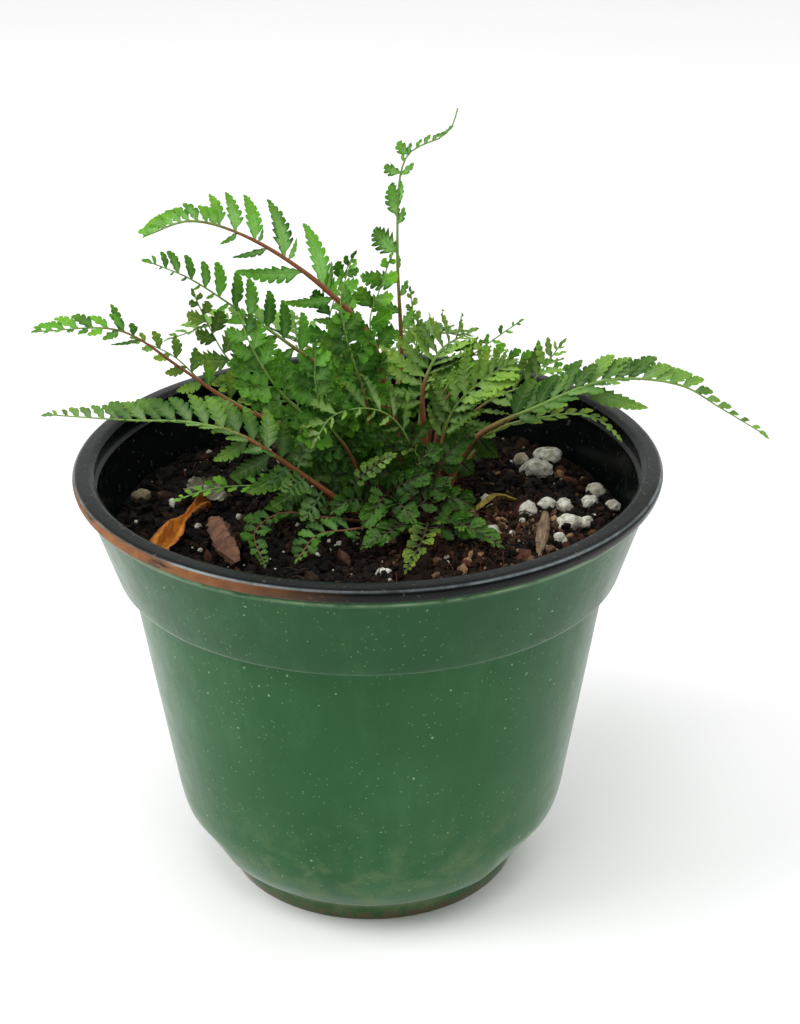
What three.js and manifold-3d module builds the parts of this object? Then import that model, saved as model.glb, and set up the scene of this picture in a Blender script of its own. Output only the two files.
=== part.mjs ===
// A small painted fern in its round nursery pot. Millimetres, +Z up.
// The origin is the centre of the flat pad under the pot, where the pot's axis meets the floor.
// -Y is the front, the side the pot is looked at from.
import * as THREE from 'three';
import { mergeVertices } from 'three/addons/utils/BufferGeometryUtils.js';
import Module from 'manifold-3d';

const wasm = await Module();
wasm.setup();

// Driving dimensions
const potHeight = 127;
const rimRadius = 82.5;
const wall = 1.6;
const facets = 36; // sides of every turned piece, the same for all so that their walls run parallel
const clearance = 0.3; // gap left where one piece rests on or in another
const bandFoot = 96.3; // height of the ledge under the straight band below the rim
const floorTop = 4.8;
const soilHeight = 109.2; // at the middle
const soilFall = 1.6; // how much lower the soil lies at the wall
const soilRipple = 0.7;
const soilGap = 0.75; // between the soil and the pot's side
const drainHoleRadius = 5;
const drainHoleCircle = 27;
const drainHoleCount = 4;
const dentAngles = [55, 175, 295]; // flats on the lower corner, degrees from the front towards +X
const dentDepth = 1.7;
const dentHalfWidth = 16; // degrees
const crownCentre = [9, 9, 107];
const crownRadii = [17, 24, 6];
const leafHalfThickness = 0.45;
const leafletWidth = 0.19; // half the width of a leaflet, as a share of its length
const widestAt = 0.38; // share of a leaflet's length where it is widest
const leafletDroop = 0.22; // how far its tip hangs, as a share of its length

const matte = (colour, roughness = 0.8) =>
  new THREE.MeshStandardMaterial({ color: new THREE.Color(...colour), roughness, metalness: 0 });
const materials = {
  pot: matte([0.05, 0.17, 0.07], 0.55),
  soil: matte([0.018, 0.013, 0.01], 0.98),
  crown: matte([0.05, 0.03, 0.02], 0.95),
  greyGreen: matte([0.2, 0.3, 0.2], 0.6),
  green: matte([0.07, 0.22, 0.05], 0.6),
  paleGreen: matte([0.28, 0.42, 0.2], 0.6),
  dead: matte([0.35, 0.13, 0.04], 0.85),
  stone: matte([0.75, 0.72, 0.68], 0.95),
  bark: matte([0.2, 0.1, 0.06], 0.9),
};

const group = new THREE.Group();
group.name = 'potted_painted_fern';

// Solids: a closed geometry goes in, its vertices are merged and it becomes a manifold, and back.
function solidOf(geometry) {
  const bare = geometry.clone();
  bare.deleteAttribute('normal');
  bare.deleteAttribute('uv');
  const merged = mergeVertices(bare, 1e-4);
  return new wasm.Manifold(new wasm.Mesh({
    numProp: 3,
    vertProperties: new Float32Array(merged.attributes.position.array),
    triVerts: new Uint32Array(merged.index.array),
  }));
}

function geometryOf(solid) {
  const mesh = solid.getMesh();
  const geometry = new THREE.BufferGeometry();
  geometry.setAttribute('position', new THREE.BufferAttribute(new Float32Array(mesh.vertProperties), 3));
  geometry.setIndex(new THREE.BufferAttribute(new Uint32Array(mesh.triVerts), 1));
  return geometry;
}

// Only the largest body of a cut solid is kept, so a cut never leaves a loose chip.
function largest(solid) {
  return solid.decompose().sort((a, b) => b.volume() - a.volume())[0];
}

function add(name, solid, material) {
  const mesh = new THREE.Mesh(geometryOf(solid), material);
  mesh.name = name;
  group.add(mesh);
}

// A solid through rings of points. A ring of one point closes that end; any other end gets a flat cap.
function loft(rings) {
  const starts = [];
  let total = 0;
  rings.forEach((ring) => {
    starts.push(total);
    total += ring.length;
  });
  const index = [];
  for (let r = 0; r < rings.length - 1; r += 1) {
    const count = Math.max(rings[r].length, rings[r + 1].length);
    const low = (k) => starts[r] + (rings[r].length > 1 ? k % count : 0);
    const high = (k) => starts[r + 1] + (rings[r + 1].length > 1 ? k % count : 0);
    for (let k = 0; k < count; k += 1) {
      if (rings[r].length > 1) index.push(low(k), low(k + 1), high(k));
      if (rings[r + 1].length > 1) index.push(low(k + 1), high(k + 1), high(k));
    }
  }
  const last = starts[rings.length - 1];
  for (let k = 1; k < rings[0].length - 1; k += 1) index.push(0, k + 1, k);
  for (let k = 1; k < rings[rings.length - 1].length - 1; k += 1) index.push(last, last + k, last + k + 1);
  const geometry = new THREE.BufferGeometry();
  const numbers = rings.flat().flatMap((p) => p.toArray());
  geometry.setAttribute('position', new THREE.Float32BufferAttribute(numbers, 3));
  geometry.setIndex(index);
  return solidOf(geometry);
}

// The same with its rings turned round if they were given left-handed.
function closed(rings) {
  const solid = loft(rings);
  return solid.volume() > 0 ? solid : loft(rings.map((ring) => [...ring].reverse()));
}

const stalkSides = 5;
function roundRing(centre, across, other, radius) {
  return Array.from({ length: stalkSides }, (_, k) => {
    const angle = (2 * Math.PI * k) / stalkSides;
    return centre.clone().addScaledVector(across, radius * Math.cos(angle))
      .addScaledVector(other, radius * Math.sin(angle));
  });
}

// The pot: one turned shell, outside up to the rim and back down the inside to the floor.
// Three flats press its lower corner in, inside and outside alike.
const potOutside = [
  [0, 0], [12, 0], [13.5, 3], [37.5, 3], [39.2, 0], [42.7, 0], [44.3, 6.3], [48.6, 9.2], [52.6, 14],
  [55.8, 20.9], [57.2, 26.2], [68.1, bandFoot], [71.7, bandFoot + 0.3], [79.1, 123.2], [82, 123.2],
  [rimRadius, 125.8], [81.9, potHeight], [77, potHeight], [76.4, 126.2],
];
const innerWall = [[76.9, 121.9], [75.6, 121.2], [76.4, 120], [70.4, bandFoot + 1.6], [66.5, bandFoot + 0.2],
  [57.2 - wall, 27], [54.1, 21.6], [51, 15.3], [47.2, 10.8], [42.6, 7.6], [41, floorTop]];
const potInside = [...innerWall, [0, floorTop]];

function dentAt(angle, z) {
  const near = Math.min(...dentAngles.map((a) => Math.abs(((angle - a + 540) % 360) - 180)));
  const across = Math.max(0, 1 - (near / dentHalfWidth) ** 2);
  const along = Math.max(0, 1 - ((z - 13) / 9) ** 2);
  return dentDepth * across * along;
}

// A profile of radius and height turned about Z, with the flats pressed in and, for soil, an uneven top.
function turned(profile, lift = () => 0) {
  const points = profile.map(([r, z]) => new THREE.Vector2(r, z));
  const geometry = new THREE.LatheGeometry(points, facets);
  const position = geometry.attributes.position;
  for (let i = 0; i < position.count; i += 1) {
    const x = position.getX(i);
    const y = -position.getZ(i);
    const z = position.getY(i);
    const r = Math.hypot(x, y);
    const angle = THREE.MathUtils.radToDeg(Math.atan2(x, -y));
    const scale = r > 1e-6 ? (r - dentAt(angle, z)) / r : 0;
    position.setXYZ(i, x * scale, y * scale, z + lift(x, y, z));
  }
  const solid = solidOf(geometry);
  return solid.volume() > 0 ? solid : solidOf(flipped(geometry));
}

function flipped(geometry) {
  const index = geometry.index.array.slice();
  for (let i = 0; i < index.length; i += 3) {
    [index[i + 1], index[i + 2]] = [index[i + 2], index[i + 1]];
  }
  const other = geometry.clone();
  other.setIndex(new THREE.BufferAttribute(index, 1));
  return other;
}

function nurseryPot() {
  let pot = turned([...potOutside, ...potInside]);
  for (let i = 0; i < drainHoleCount; i += 1) {
    const angle = THREE.MathUtils.degToRad(45 + (360 / drainHoleCount) * i);
    const drill = new THREE.CylinderGeometry(drainHoleRadius, drainHoleRadius, 12, 12);
    drill.rotateX(Math.PI / 2);
    drill.translate(Math.cos(angle) * drainHoleCircle, Math.sin(angle) * drainHoleCircle, floorTop);
    pot = pot.subtract(solidOf(drill));
  }
  return pot;
}

// The soil fills the pot to a little under the rim. Its top falls towards the wall and is uneven.
function soilTop(x, y) {
  const r = Math.hypot(x, y) / 72;
  return soilHeight - soilFall * r * r + soilRipple * Math.sin(0.11 * x + 1) * Math.cos(0.13 * y);
}

function pottingSoil(raise = 0) {
  const inside = innerWall.filter(([, z]) => z < 115 && z > floorTop).reverse();
  const side = inside.map(([r, z]) => [r - soilGap, z + clearance]);
  const topRadii = [72.2, 60, 44, 24];
  const profile = [[0, floorTop + clearance], [40, floorTop + clearance], ...side,
    ...topRadii.map((r) => [r, 108]), [0, 108]];
  return turned(profile, (x, y, z) => (z > 107.9 ? soilTop(x, y) - 108 + raise : 0));
}

// The crown: the knobbly top of the rhizome, half sunk in the soil, that every stalk grows from.
function fernCrown(grow = 0) {
  const geometry = new THREE.SphereGeometry(1, 16, 10);
  const position = geometry.attributes.position;
  for (let i = 0; i < position.count; i += 1) {
    const p = new THREE.Vector3().fromBufferAttribute(position, i);
    const knobs = 1 + 0.06 * Math.sin(7 * p.x + 2) * Math.cos(6 * p.y) + 0.05 * Math.sin(9 * p.y + 5 * p.z);
    position.setXYZ(
      i,
      crownCentre[0] + p.x * knobs * (crownRadii[0] + grow),
      crownCentre[1] + p.y * knobs * (crownRadii[1] + grow),
      crownCentre[2] + p.z * knobs * (crownRadii[2] + grow),
    );
  }
  return solidOf(geometry);
}

// Fronds. Each is one leaf: a stalk that tapers along a smooth curve through its points, which start in
// the crown, and leaflets in pairs from the share `bare` of its length to the tip. `leaflet` is the
// longest leaflet, `roll` turns the blade about the stalk, in degrees, and raises its +side.
const fronds = {
  frond_tall: { points: [[11, 27, 110], [10, 30, 150], [9, 32, 177], [10, 32, 196], [17, 32, 207], [26, 30, 218]],
    leaflet: 11, bare: 0.45, roll: 35, stalk: 1.2, pairs: 7, material: 'green' },
  frond_upper_left: { points: [[7, 18, 110], [5, 20, 135], [1, 18, 155], [-13, 14, 173], [-33, 8, 189], [-47, 2, 195],
    [-58, -4, 193]], leaflet: 15, bare: 0.4, roll: 50, stalk: 1.4, pairs: 9, material: 'green' },
  frond_upper_left_low: { points: [[0, 20, 110], [-6, 21, 138], [-22, 20, 153], [-37, 18, 165], [-49, 14, 175],
    [-59, 10, 181]], leaflet: 14, bare: 0.35, roll: 40, stalk: 1.1, pairs: 8, material: 'green' },
  frond_far_left: { points: [[-3, 13, 110], [-19, 15, 127], [-38, 17, 136], [-53, 18, 147], [-69, 16, 159],
    [-91, 8, 162]], leaflet: 14, bare: 0.42, roll: 40, stalk: 1.2, pairs: 8, material: 'green' },
  frond_back_left_thin: { points: [[-4, 22, 110], [-30, 29, 126], [-47, 30, 137], [-56, 30, 146], [-66, 28, 152]],
    leaflet: 8, bare: 0.6, roll: 30, stalk: 0.8, pairs: 4, material: 'paleGreen' },
  frond_low_left: { points: [[-2, -4, 110], [-19, -7, 125], [-35, -8, 137], [-49, -8, 141], [-65, -6, 141],
    [-87, -4, 142]], leaflet: 13, bare: 0.3, roll: 25, stalk: 1.1, pairs: 10, material: 'greyGreen' },
  frond_right: { points: [[21, 8, 109], [30, 12, 126], [49, 11, 137], [68, 10, 145], [88, 8, 144], [99, 6, 138],
    [111, 4, 131]],
    leaflet: 15, bare: 0.28, roll: 35, stalk: 1.2, pairs: 11, material: 'greyGreen' },
  frond_inner_right: { points: [[23, 15, 110], [37, 19, 126], [53, 20, 130], [61, 19, 131], [67, 13, 131], [71, 6, 129]],
    leaflet: 11, bare: 0.4, roll: 15, stalk: 0.9, pairs: 6, material: 'green' },
  frond_back_right: { points: [[18, 27, 110], [25, 38, 131], [37, 44, 138], [49, 46, 136], [62, 44, 134]],
    leaflet: 11, bare: 0.35, roll: 20, stalk: 0.9, pairs: 7, material: 'green' },
  frond_back_right_sprig: { points: [[16, 24, 110], [21, 32, 130], [30, 38, 141], [37, 40, 146], [45, 42, 151]],
    leaflet: 8, bare: 0.5, roll: 20, stalk: 0.8, pairs: 5, material: 'green' },
  frond_centre: { points: [[17, 11, 110], [16, 12, 129], [16, 14, 142], [21, 19, 151], [29, 25, 154]],
    leaflet: 17, bare: 0.5, roll: -10, stalk: 1.2, pairs: 6, material: 'paleGreen' },
  frond_left_broad: { points: [[-4, 5, 110], [-11, 6, 130], [-19, 4, 139], [-26, 3, 148], [-32, 4, 159],
    [-35, 6, 168]], leaflet: 16, bare: 0.4, roll: 0, stalk: 1.1, pairs: 7, material: 'green' },
  frond_back_left: { points: [[-2, 26, 110], [-22, 36, 128], [-40, 40, 140], [-46, 42, 150], [-50, 42, 160]],
    leaflet: 10, bare: 0.5, roll: 10, stalk: 0.8, pairs: 5, material: 'paleGreen' },
  frond_back_twig: { points: [[14, 32, 109], [16, 40, 131], [15, 42, 142], [14, 43, 151], [13, 44, 160]],
    leaflet: 5, bare: 0.55, roll: 10, stalk: 0.6, pairs: 5, material: 'paleGreen' },
  frond_soil_left: { points: [[-3, 0, 110], [-20, 0, 117], [-35, -2, 119], [-44, -4, 119], [-53, -6, 117]],
    leaflet: 9, bare: 0.45, roll: 10, stalk: 0.7, pairs: 6, material: 'green' },
  frond_back_arch: { points: [[2, 29, 110], [-8, 42, 134], [-24, 52, 144], [-42, 55, 147], [-58, 50, 144]],
    leaflet: 11, bare: 0.35, roll: 15, stalk: 0.9, pairs: 7, material: 'greyGreen' },
  frond_front: { points: [[14, -7, 110], [10, -15, 113], [6, -22, 114], [-1, -29, 113]],
    leaflet: 7, bare: 0.2, roll: 0, stalk: 0.6, pairs: 5, material: 'green' },
  frond_front_yellow: { points: [[16, -9, 110], [16, -21, 115], [14, -33, 116], [10, -43, 113]],
    leaflet: 8, bare: 0.25, roll: 0, stalk: 0.6, pairs: 6, material: 'paleGreen' },
  frond_front_right: { points: [[19, -6, 110], [22, -17, 115], [27, -24, 116], [35, -29, 113]],
    leaflet: 7, bare: 0.3, roll: 0, stalk: 0.6, pairs: 5, material: 'green' },
  frond_front_left: { points: [[0, -8, 110], [-12, -13, 114], [-24, -14, 116], [-31, -24, 115], [-28, -38, 112.5]],
    leaflet: 9, bare: 0.35, roll: 0, stalk: 0.7, pairs: 7, material: 'green' },
  frond_front_left_small: { points: [[5, -10, 110], [-6, -21, 114], [-14, -26, 115], [-19, -35, 112.5]],
    leaflet: 6, bare: 0.4, roll: 0, stalk: 0.6, pairs: 5, material: 'green' },
  frond_middle_right: { points: [[20, 21, 110], [26, 25, 124], [36, 28, 132], [48, 30, 137], [56, 32, 147]],
    leaflet: 11, bare: 0.4, roll: 20, stalk: 0.9, pairs: 6, material: 'paleGreen' },
  frond_inner_up: { points: [[4, 25, 110], [-4, 35, 136], [-11, 40, 150], [-8, 42, 162], [-4, 42, 171]],
    leaflet: 10, bare: 0.45, roll: 0, stalk: 0.8, pairs: 6, material: 'green' },
  frond_beside_tall: { points: [[11, 21, 110], [7, 25, 134], [1, 26, 157], [4, 27, 167], [7, 27, 176]],
    leaflet: 10, bare: 0.55, roll: 0, stalk: 0.8, pairs: 5, material: 'green' },
  frond_middle_left: { points: [[1, 2, 110], [-5, -1, 128], [-11, -4, 139], [-14, -5, 149], [-14, -4, 160]],
    leaflet: 14, bare: 0.4, roll: 10, stalk: 0.9, pairs: 6, material: 'green' },
  frond_middle_low: { points: [[10, 4, 110], [12, 4, 127], [6, 0, 139], [-2, -4, 143], [-10, -8, 142], [-14, -11, 137]],
    leaflet: 12, bare: 0.4, roll: 10, stalk: 0.8, pairs: 6, material: 'paleGreen' },
  frond_upper_middle: { points: [[3, 9, 110], [0, 9, 138], [-5, 8, 157], [-7, 8, 170], [-4, 9, 181]],
    leaflet: 12, bare: 0.45, roll: 10, stalk: 0.9, pairs: 6, material: 'green' },
  frond_centre_right: { points: [[19, 3, 110], [21, 4, 130], [25, 3, 141], [32, 3, 148], [39, 5, 152]],
    leaflet: 13, bare: 0.4, roll: 5, stalk: 0.9, pairs: 6, material: 'paleGreen' },
  frond_back_fan: { points: [[9, 33, 109], [8, 46, 126], [14, 58, 136], [22, 68, 138], [30, 76, 134]],
    leaflet: 13, bare: 0.35, roll: 0, stalk: 0.9, pairs: 7, material: 'greyGreen' },
};

// Share of the longest leaflet at a share u of the blade, from its foot to its tip.
const leafletEnvelope = (u) => (1 - u) ** 0.8 * (0.8 + 0.9 * u);

function stalkFrames(frond) {
  const curve = new THREE.CatmullRomCurve3(frond.points.map((p) => new THREE.Vector3(...p)));
  const up = new THREE.Vector3(0, 0, 1);
  return (s) => {
    const centre = curve.getPointAt(s);
    const along = curve.getTangentAt(s);
    const side = new THREE.Vector3().crossVectors(along, up).normalize();
    side.applyAxisAngle(along, THREE.MathUtils.degToRad(frond.roll));
    const normal = new THREE.Vector3().crossVectors(side, along);
    return { centre, along, side, normal };
  };
}

// A round stalk of five sides that tapers to its tip; `grow` thickens it for cutting its neighbours back.
function stalkSolid(frond, grow = 0) {
  const at = stalkFrames(frond);
  const steps = 9;
  const rings = [];
  for (let i = 0; i <= steps; i += 1) {
    const s = i / steps;
    const { centre, along } = at(s);
    const across = new THREE.Vector3(0, 1, 0.3).cross(along).normalize();
    const other = new THREE.Vector3().crossVectors(along, across);
    const radius = THREE.MathUtils.lerp(frond.stalk, 0.4, s) + grow;
    rings.push(roundRing(centre, across, other, radius));
  }
  return closed(rings);
}

// A leaflet: a thin kite that starts inside the stalk, is widest near its foot, leans to the tip and droops.
function leafletSolid(frame, hand, length, grow) {
  const direction = frame.side.clone().multiplyScalar(hand * 0.86).addScaledVector(frame.along, 0.5).normalize();
  const across = new THREE.Vector3().crossVectors(frame.normal, direction);
  const middle = frame.centre.clone().addScaledVector(direction, widestAt * length);
  middle.z -= leafletDroop * length * widestAt ** 2;
  const tip = frame.centre.clone().addScaledVector(direction, length + grow);
  tip.z -= leafletDroop * length;
  const half = leafletWidth * length + grow;
  const thick = leafHalfThickness + grow;
  const ring = [
    middle.clone().addScaledVector(across, half),
    middle.clone().addScaledVector(frame.normal, thick),
    middle.clone().addScaledVector(across, -half),
    middle.clone().addScaledVector(frame.normal, -thick),
  ];
  return closed([[frame.centre], ring, [tip]]);
}

function leaflets(frond, grow = 0) {
  const at = stalkFrames(frond);
  const solids = [];
  for (let i = 0; i < frond.pairs; i += 1) {
    const u = (i + 0.3) / frond.pairs;
    const frame = at(frond.bare + (1 - frond.bare) * u);
    const length = frond.leaflet * leafletEnvelope(u);
    solids.push(leafletSolid(frame, 1, length, grow), leafletSolid(frame, -1, length, grow));
  }
  return wasm.Manifold.union(solids);
}

// Every leaflet is cut back from the other stalks, from the leaflets of the fronds before it and from
// what lies below, so that no two leaves share any space.
function addFronds(ground) {
  const names = Object.keys(fronds);
  const fatStalks = names.map((name) => stalkSolid(fronds[name], clearance));
  let taken = null;
  names.forEach((name, i) => {
    const frond = fronds[name];
    const others = wasm.Manifold.union(fatStalks.filter((_, k) => k !== i));
    let blades = leaflets(frond).subtract(others);
    if (taken) blades = blades.subtract(taken);
    const leaf = largest(stalkSolid(frond).add(blades).subtract(ground));
    add(name, leaf, materials[frond.material]);
    const fat = leaflets(frond, clearance);
    taken = taken ? taken.add(fat) : fat;
  });
}

// A strip of withered leaf: a thin lens carried along a curve, with its width and tilt at each point.
function stripSolid({ points, width, tilt = 0, thick = 0.5 }) {
  const curve = new THREE.CatmullRomCurve3(points.map((p) => new THREE.Vector3(...p)));
  const steps = 6;
  const rings = [];
  for (let i = 0; i <= steps; i += 1) {
    const s = i / steps;
    const along = curve.getTangentAt(s);
    const side = new THREE.Vector3().crossVectors(along, new THREE.Vector3(0, 0, 1)).normalize();
    side.applyAxisAngle(along, THREE.MathUtils.degToRad(tilt));
    const normal = new THREE.Vector3().crossVectors(side, along);
    const half = 0.5 * width * (0.15 + 0.85 * Math.sin(Math.PI * (0.08 + 0.84 * s)));
    const centre = curve.getPointAt(s);
    rings.push([
      centre.clone().addScaledVector(normal, -thick),
      centre.clone().addScaledVector(side, half),
      centre.clone().addScaledVector(normal, thick),
      centre.clone().addScaledVector(side, -half),
    ]);
  }
  return closed(rings);
}

const witheredLeaves = {
  withered_leaf_orange: { points: [[-46, 4, 109.2], [-48, -6, 112.5], [-53, -14, 112], [-57, -23, 111.4], [-59, -31, 109]],
    width: 9, tilt: 25 },
  withered_leaf_papery: { points: [[-54, 16, 109.2], [-48, 13, 112], [-41, 8, 109.4]], width: 6, tilt: -30 },
  withered_leaf_brown: { points: [[-43, -12, 109.4], [-39, -22, 112], [-36, -32, 109]], width: 7, tilt: 20 },
  withered_leaf_yellow: { points: [[30, -2, 110.5], [36, 2, 112.5], [42, 3, 111]], width: 4, tilt: 10 },
};

// The curled young frond: a stalk that ends in a spiral turning in on itself.
function crosierSolid(grow = 0) {
  const coilCentre = new THREE.Vector3(-8.5, 17, 131);
  const turns = 1.35;
  const route = [new THREE.Vector3(-5, 15.5, 108.5), new THREE.Vector3(-9, 16, 118), new THREE.Vector3(-11.4, 17, 127)];
  for (let i = 0; i <= 10; i += 1) {
    const share = i / 10;
    const angle = Math.PI - turns * 2 * Math.PI * share;
    const radius = THREE.MathUtils.lerp(2.9, 1.1, share ** 0.8);
    route.push(coilCentre.clone().add(new THREE.Vector3(radius * Math.cos(angle), 0.6 * share, radius * Math.sin(angle))));
  }
  const curve = new THREE.CatmullRomCurve3(route);
  const steps = 26;
  const rings = [];
  for (let i = 0; i <= steps; i += 1) {
    const s = i / steps;
    const along = curve.getTangentAt(s);
    const across = new THREE.Vector3(0, 1, 0);
    const other = new THREE.Vector3().crossVectors(along, across).normalize();
    across.crossVectors(other, along);
    const radius = THREE.MathUtils.lerp(0.75, 0.42, s) + grow;
    const centre = curve.getPointAt(s);
    rings.push(roundRing(centre, across, other, radius));
  }
  return closed(rings);
}

// White volcanic grains and stones bedded in the soil: centre x and y, radius, and flattening.
const stones = [
  [-66, 15, 3.2, 0.8], [-56, 8, 2.2, 0.9], [45, 0, 2.8, 0.9], [51, 4, 2.2, 0.9], [56, 3, 2.4, 0.8],
  [63, 5, 2.6, 0.8], [70, 4, 1.9, 0.8], [66, 14, 3, 0.7], [56, -9, 3, 0.9], [53, -17, 1.9, 0.9],
  [61, -8, 2.2, 0.8], [54, 38, 3.8, 0.8], [46, 37, 2.4, 0.8], [50, 28, 4.2, 0.7], [34, 7, 2.1, 0.9],
  [34, -14, 2.2, 0.8], [4, -39, 1.9, 0.8],
];

function stoneSolid([x, y, radius, flat], turn, grow = 0) {
  const geometry = new THREE.IcosahedronGeometry(1, 0);
  const size = radius + grow;
  geometry.scale(size * 1.15, size * 0.9, size * flat);
  geometry.rotateZ(turn);
  geometry.translate(x, y, soilTop(x, y) + radius * 0.3);
  return solidOf(geometry);
}

// Slips of wood and bark that lie bedded in the soil: ends, width and thickness.
const woodPieces = {
  wood_sliver: { from: [50, -3, 110], to: [46, -30, 109.4], width: 3.6, thick: 1.8 },
  bark_chip_right: { from: [27, -2, 109.6], to: [31, -9, 109.2], width: 4, thick: 2 },
  bark_chip_left: { from: [-33, 19, 109.4], to: [-25, 24, 109.8], width: 4, thick: 2 },
};

function woodSolid({ from, to, width, thick }, grow = 0) {
  const start = new THREE.Vector3(...from);
  const end = new THREE.Vector3(...to);
  const along = end.clone().sub(start).normalize();
  const side = new THREE.Vector3().crossVectors(along, new THREE.Vector3(0, 0, 1)).normalize();
  const up = new THREE.Vector3().crossVectors(side, along);
  const taper = [0.45, 1, 0.9, 0.3];
  const rings = taper.map((share, i) => {
    const stretch = i / (taper.length - 1);
    const ends = [-grow, 0, 0, grow][i];
    const centre = start.clone().lerp(end, stretch).addScaledVector(along, ends);
    const half = (width / 2) * share + grow;
    const deep = (thick / 2) * (0.6 + 0.4 * share) + grow;
    return [[-1, -1], [1, -1], [1, 1], [-1, 1]].map(([a, b]) =>
      centre.clone().addScaledVector(side, a * half).addScaledVector(up, b * deep));
  });
  return closed(rings);
}

// The assembly
const stoneTurn = (i) => 0.7 + 1.9 * i;
const bedded = [
  fernCrown(clearance),
  crosierSolid(clearance),
  ...stones.map((stone, i) => stoneSolid(stone, stoneTurn(i), clearance)),
  ...Object.values(woodPieces).map((piece) => woodSolid(piece, clearance)),
];
const soil = largest(pottingSoil().subtract(wasm.Manifold.union(bedded)));
const withered = Object.values(witheredLeaves).map((leaf) => stripSolid({ ...leaf, width: leaf.width + 0.6, thick: 0.8 }));
const ground = wasm.Manifold.union([pottingSoil(clearance), ...bedded, ...withered]);

add('nursery_pot', nurseryPot(), materials.pot);
add('potting_soil', soil, materials.soil);
add('fern_crown', fernCrown(), materials.crown);
addFronds(ground);
add('young_crosier', largest(crosierSolid().subtract(fernCrown(clearance))), materials.paleGreen);
Object.entries(witheredLeaves).forEach(([name, leaf]) => {
  add(name, largest(stripSolid(leaf).subtract(pottingSoil(clearance))), materials.dead);
});
Object.entries(woodPieces).forEach(([name, piece]) => add(name, woodSolid(piece), materials.bark));
stones.forEach((stone, i) => {
  add(`stone_${String(i + 1).padStart(2, '0')}`, stoneSolid(stone, stoneTurn(i)), materials.stone);
});

export default group;
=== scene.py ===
import math
import bpy
import numpy as np
from mathutils import Matrix


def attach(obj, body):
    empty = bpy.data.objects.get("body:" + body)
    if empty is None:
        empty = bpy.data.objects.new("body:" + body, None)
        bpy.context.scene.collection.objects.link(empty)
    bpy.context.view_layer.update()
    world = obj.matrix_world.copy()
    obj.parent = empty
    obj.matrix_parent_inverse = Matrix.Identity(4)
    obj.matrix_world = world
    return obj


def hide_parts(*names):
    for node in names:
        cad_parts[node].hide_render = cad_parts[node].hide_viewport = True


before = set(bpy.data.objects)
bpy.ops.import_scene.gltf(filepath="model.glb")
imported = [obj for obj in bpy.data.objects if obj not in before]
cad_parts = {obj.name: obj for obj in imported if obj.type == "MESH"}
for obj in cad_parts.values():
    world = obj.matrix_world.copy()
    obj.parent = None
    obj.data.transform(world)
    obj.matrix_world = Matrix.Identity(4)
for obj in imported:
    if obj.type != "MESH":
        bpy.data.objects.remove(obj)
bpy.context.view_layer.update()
print("frame loaded:", len(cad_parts), "nodes")


# Small tools. All sizes are in millimetres until makePiece turns them into metres.
def unit(v):
    return v / np.maximum(np.linalg.norm(v, axis=-1, keepdims=True), 1e-9)


def circle(n):
    return np.linspace(0, 2 * np.pi, n, endpoint=False)


def smoothStep(x, low, high):
    # 0 below low, 1 above high, and 3s^2 - 2s^3 between
    s = np.clip((x - low) / (high - low), 0, 1)
    return s * s * (3 - 2 * s)


def lump(p, seed=0):
    # smooth noise from 0 to 1: a random value on every corner of a unit lattice, blended by smooth steps
    base = np.floor(p).astype(np.int64)
    part = p - base
    part = part * part * (3 - 2 * part)
    total = np.zeros(p.shape[:-1])
    for corner in np.ndindex(2, 2, 2):
        at = base + np.array(corner)
        key = np.bitwise_xor.reduce(at * [73856093, 19349663, 83492791], axis=-1) ^ (seed * 2654435761)
        key = (key ^ (key >> 13)) * 1274126177 & 0x7FFFFFFF
        value = (key ^ (key >> 11)) % 65536 / 65535
        total += value * np.prod(np.where(np.array(corner) == 1, part, 1 - part), axis=-1)
    return total


def lumps(p, octaves=3, seed=0):
    # the sum of a few noises, each of half the size and half the height of the one before
    shares = [0.5 ** k for k in range(octaves)]
    return sum(lump(p * 2 ** k, seed + k) * share for k, share in enumerate(shares)) / sum(shares)


def sampled(at, known, field):
    # a field of three columns, given at the known places of a path, read at others
    return np.stack([np.interp(at, known, field[:, k]) for k in range(3)], 1)


def smoothPath(points, count):
    # centripetal Catmull-Rom curve through the points, then evenly spaced along its length
    p = np.array(points, float)
    q = np.vstack([2 * p[0] - p[1], p, 2 * p[-1] - p[-2]])
    s = np.linspace(0, 1, 40, endpoint=False)[:, None]
    pieces = []
    for a, b, c, d in zip(q, q[1:], q[2:], q[3:]):
        t0, t1, t2 = (max(np.linalg.norm(v) ** 0.5, 1e-4) for v in (b - a, c - b, d - c))
        m1 = ((b - a) / t0 - (c - a) / (t0 + t1) + (c - b) / t1) * t1
        m2 = ((c - b) / t1 - (d - b) / (t1 + t2) + (d - c) / t2) * t1
        pieces.append(b * (2 * s ** 3 - 3 * s ** 2 + 1) + m1 * (s ** 3 - 2 * s ** 2 + s)
                      + c * (3 * s ** 2 - 2 * s ** 3) + m2 * (s ** 3 - s ** 2))
    line = np.vstack(pieces + [p[-1:]])
    length = np.r_[0, np.cumsum(np.linalg.norm(np.diff(line, axis=0), axis=1))]
    at = np.linspace(0, length[-1], count)
    return sampled(at, length, line)


def pathFrames(line, facing=(0, 0, 1.0)):
    # along: the direction of the path; up: the part of facing square to it; side: square to both
    along = unit(np.gradient(line, axis=0))
    up = unit(np.array(facing, float) - along * (along @ facing)[:, None])
    return along, up, np.cross(along, up)


def gridFaces(rows, columns):
    # quads between neighbouring rows of a grid of points whose last column joins its first
    i, j = (axis.ravel() for axis in np.meshgrid(np.arange(rows - 1), np.arange(columns), indexing="ij"))
    k = (j + 1) % columns
    return np.stack([i * columns + j, i * columns + k, (i + 1) * columns + k, (i + 1) * columns + j], 1)


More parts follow.
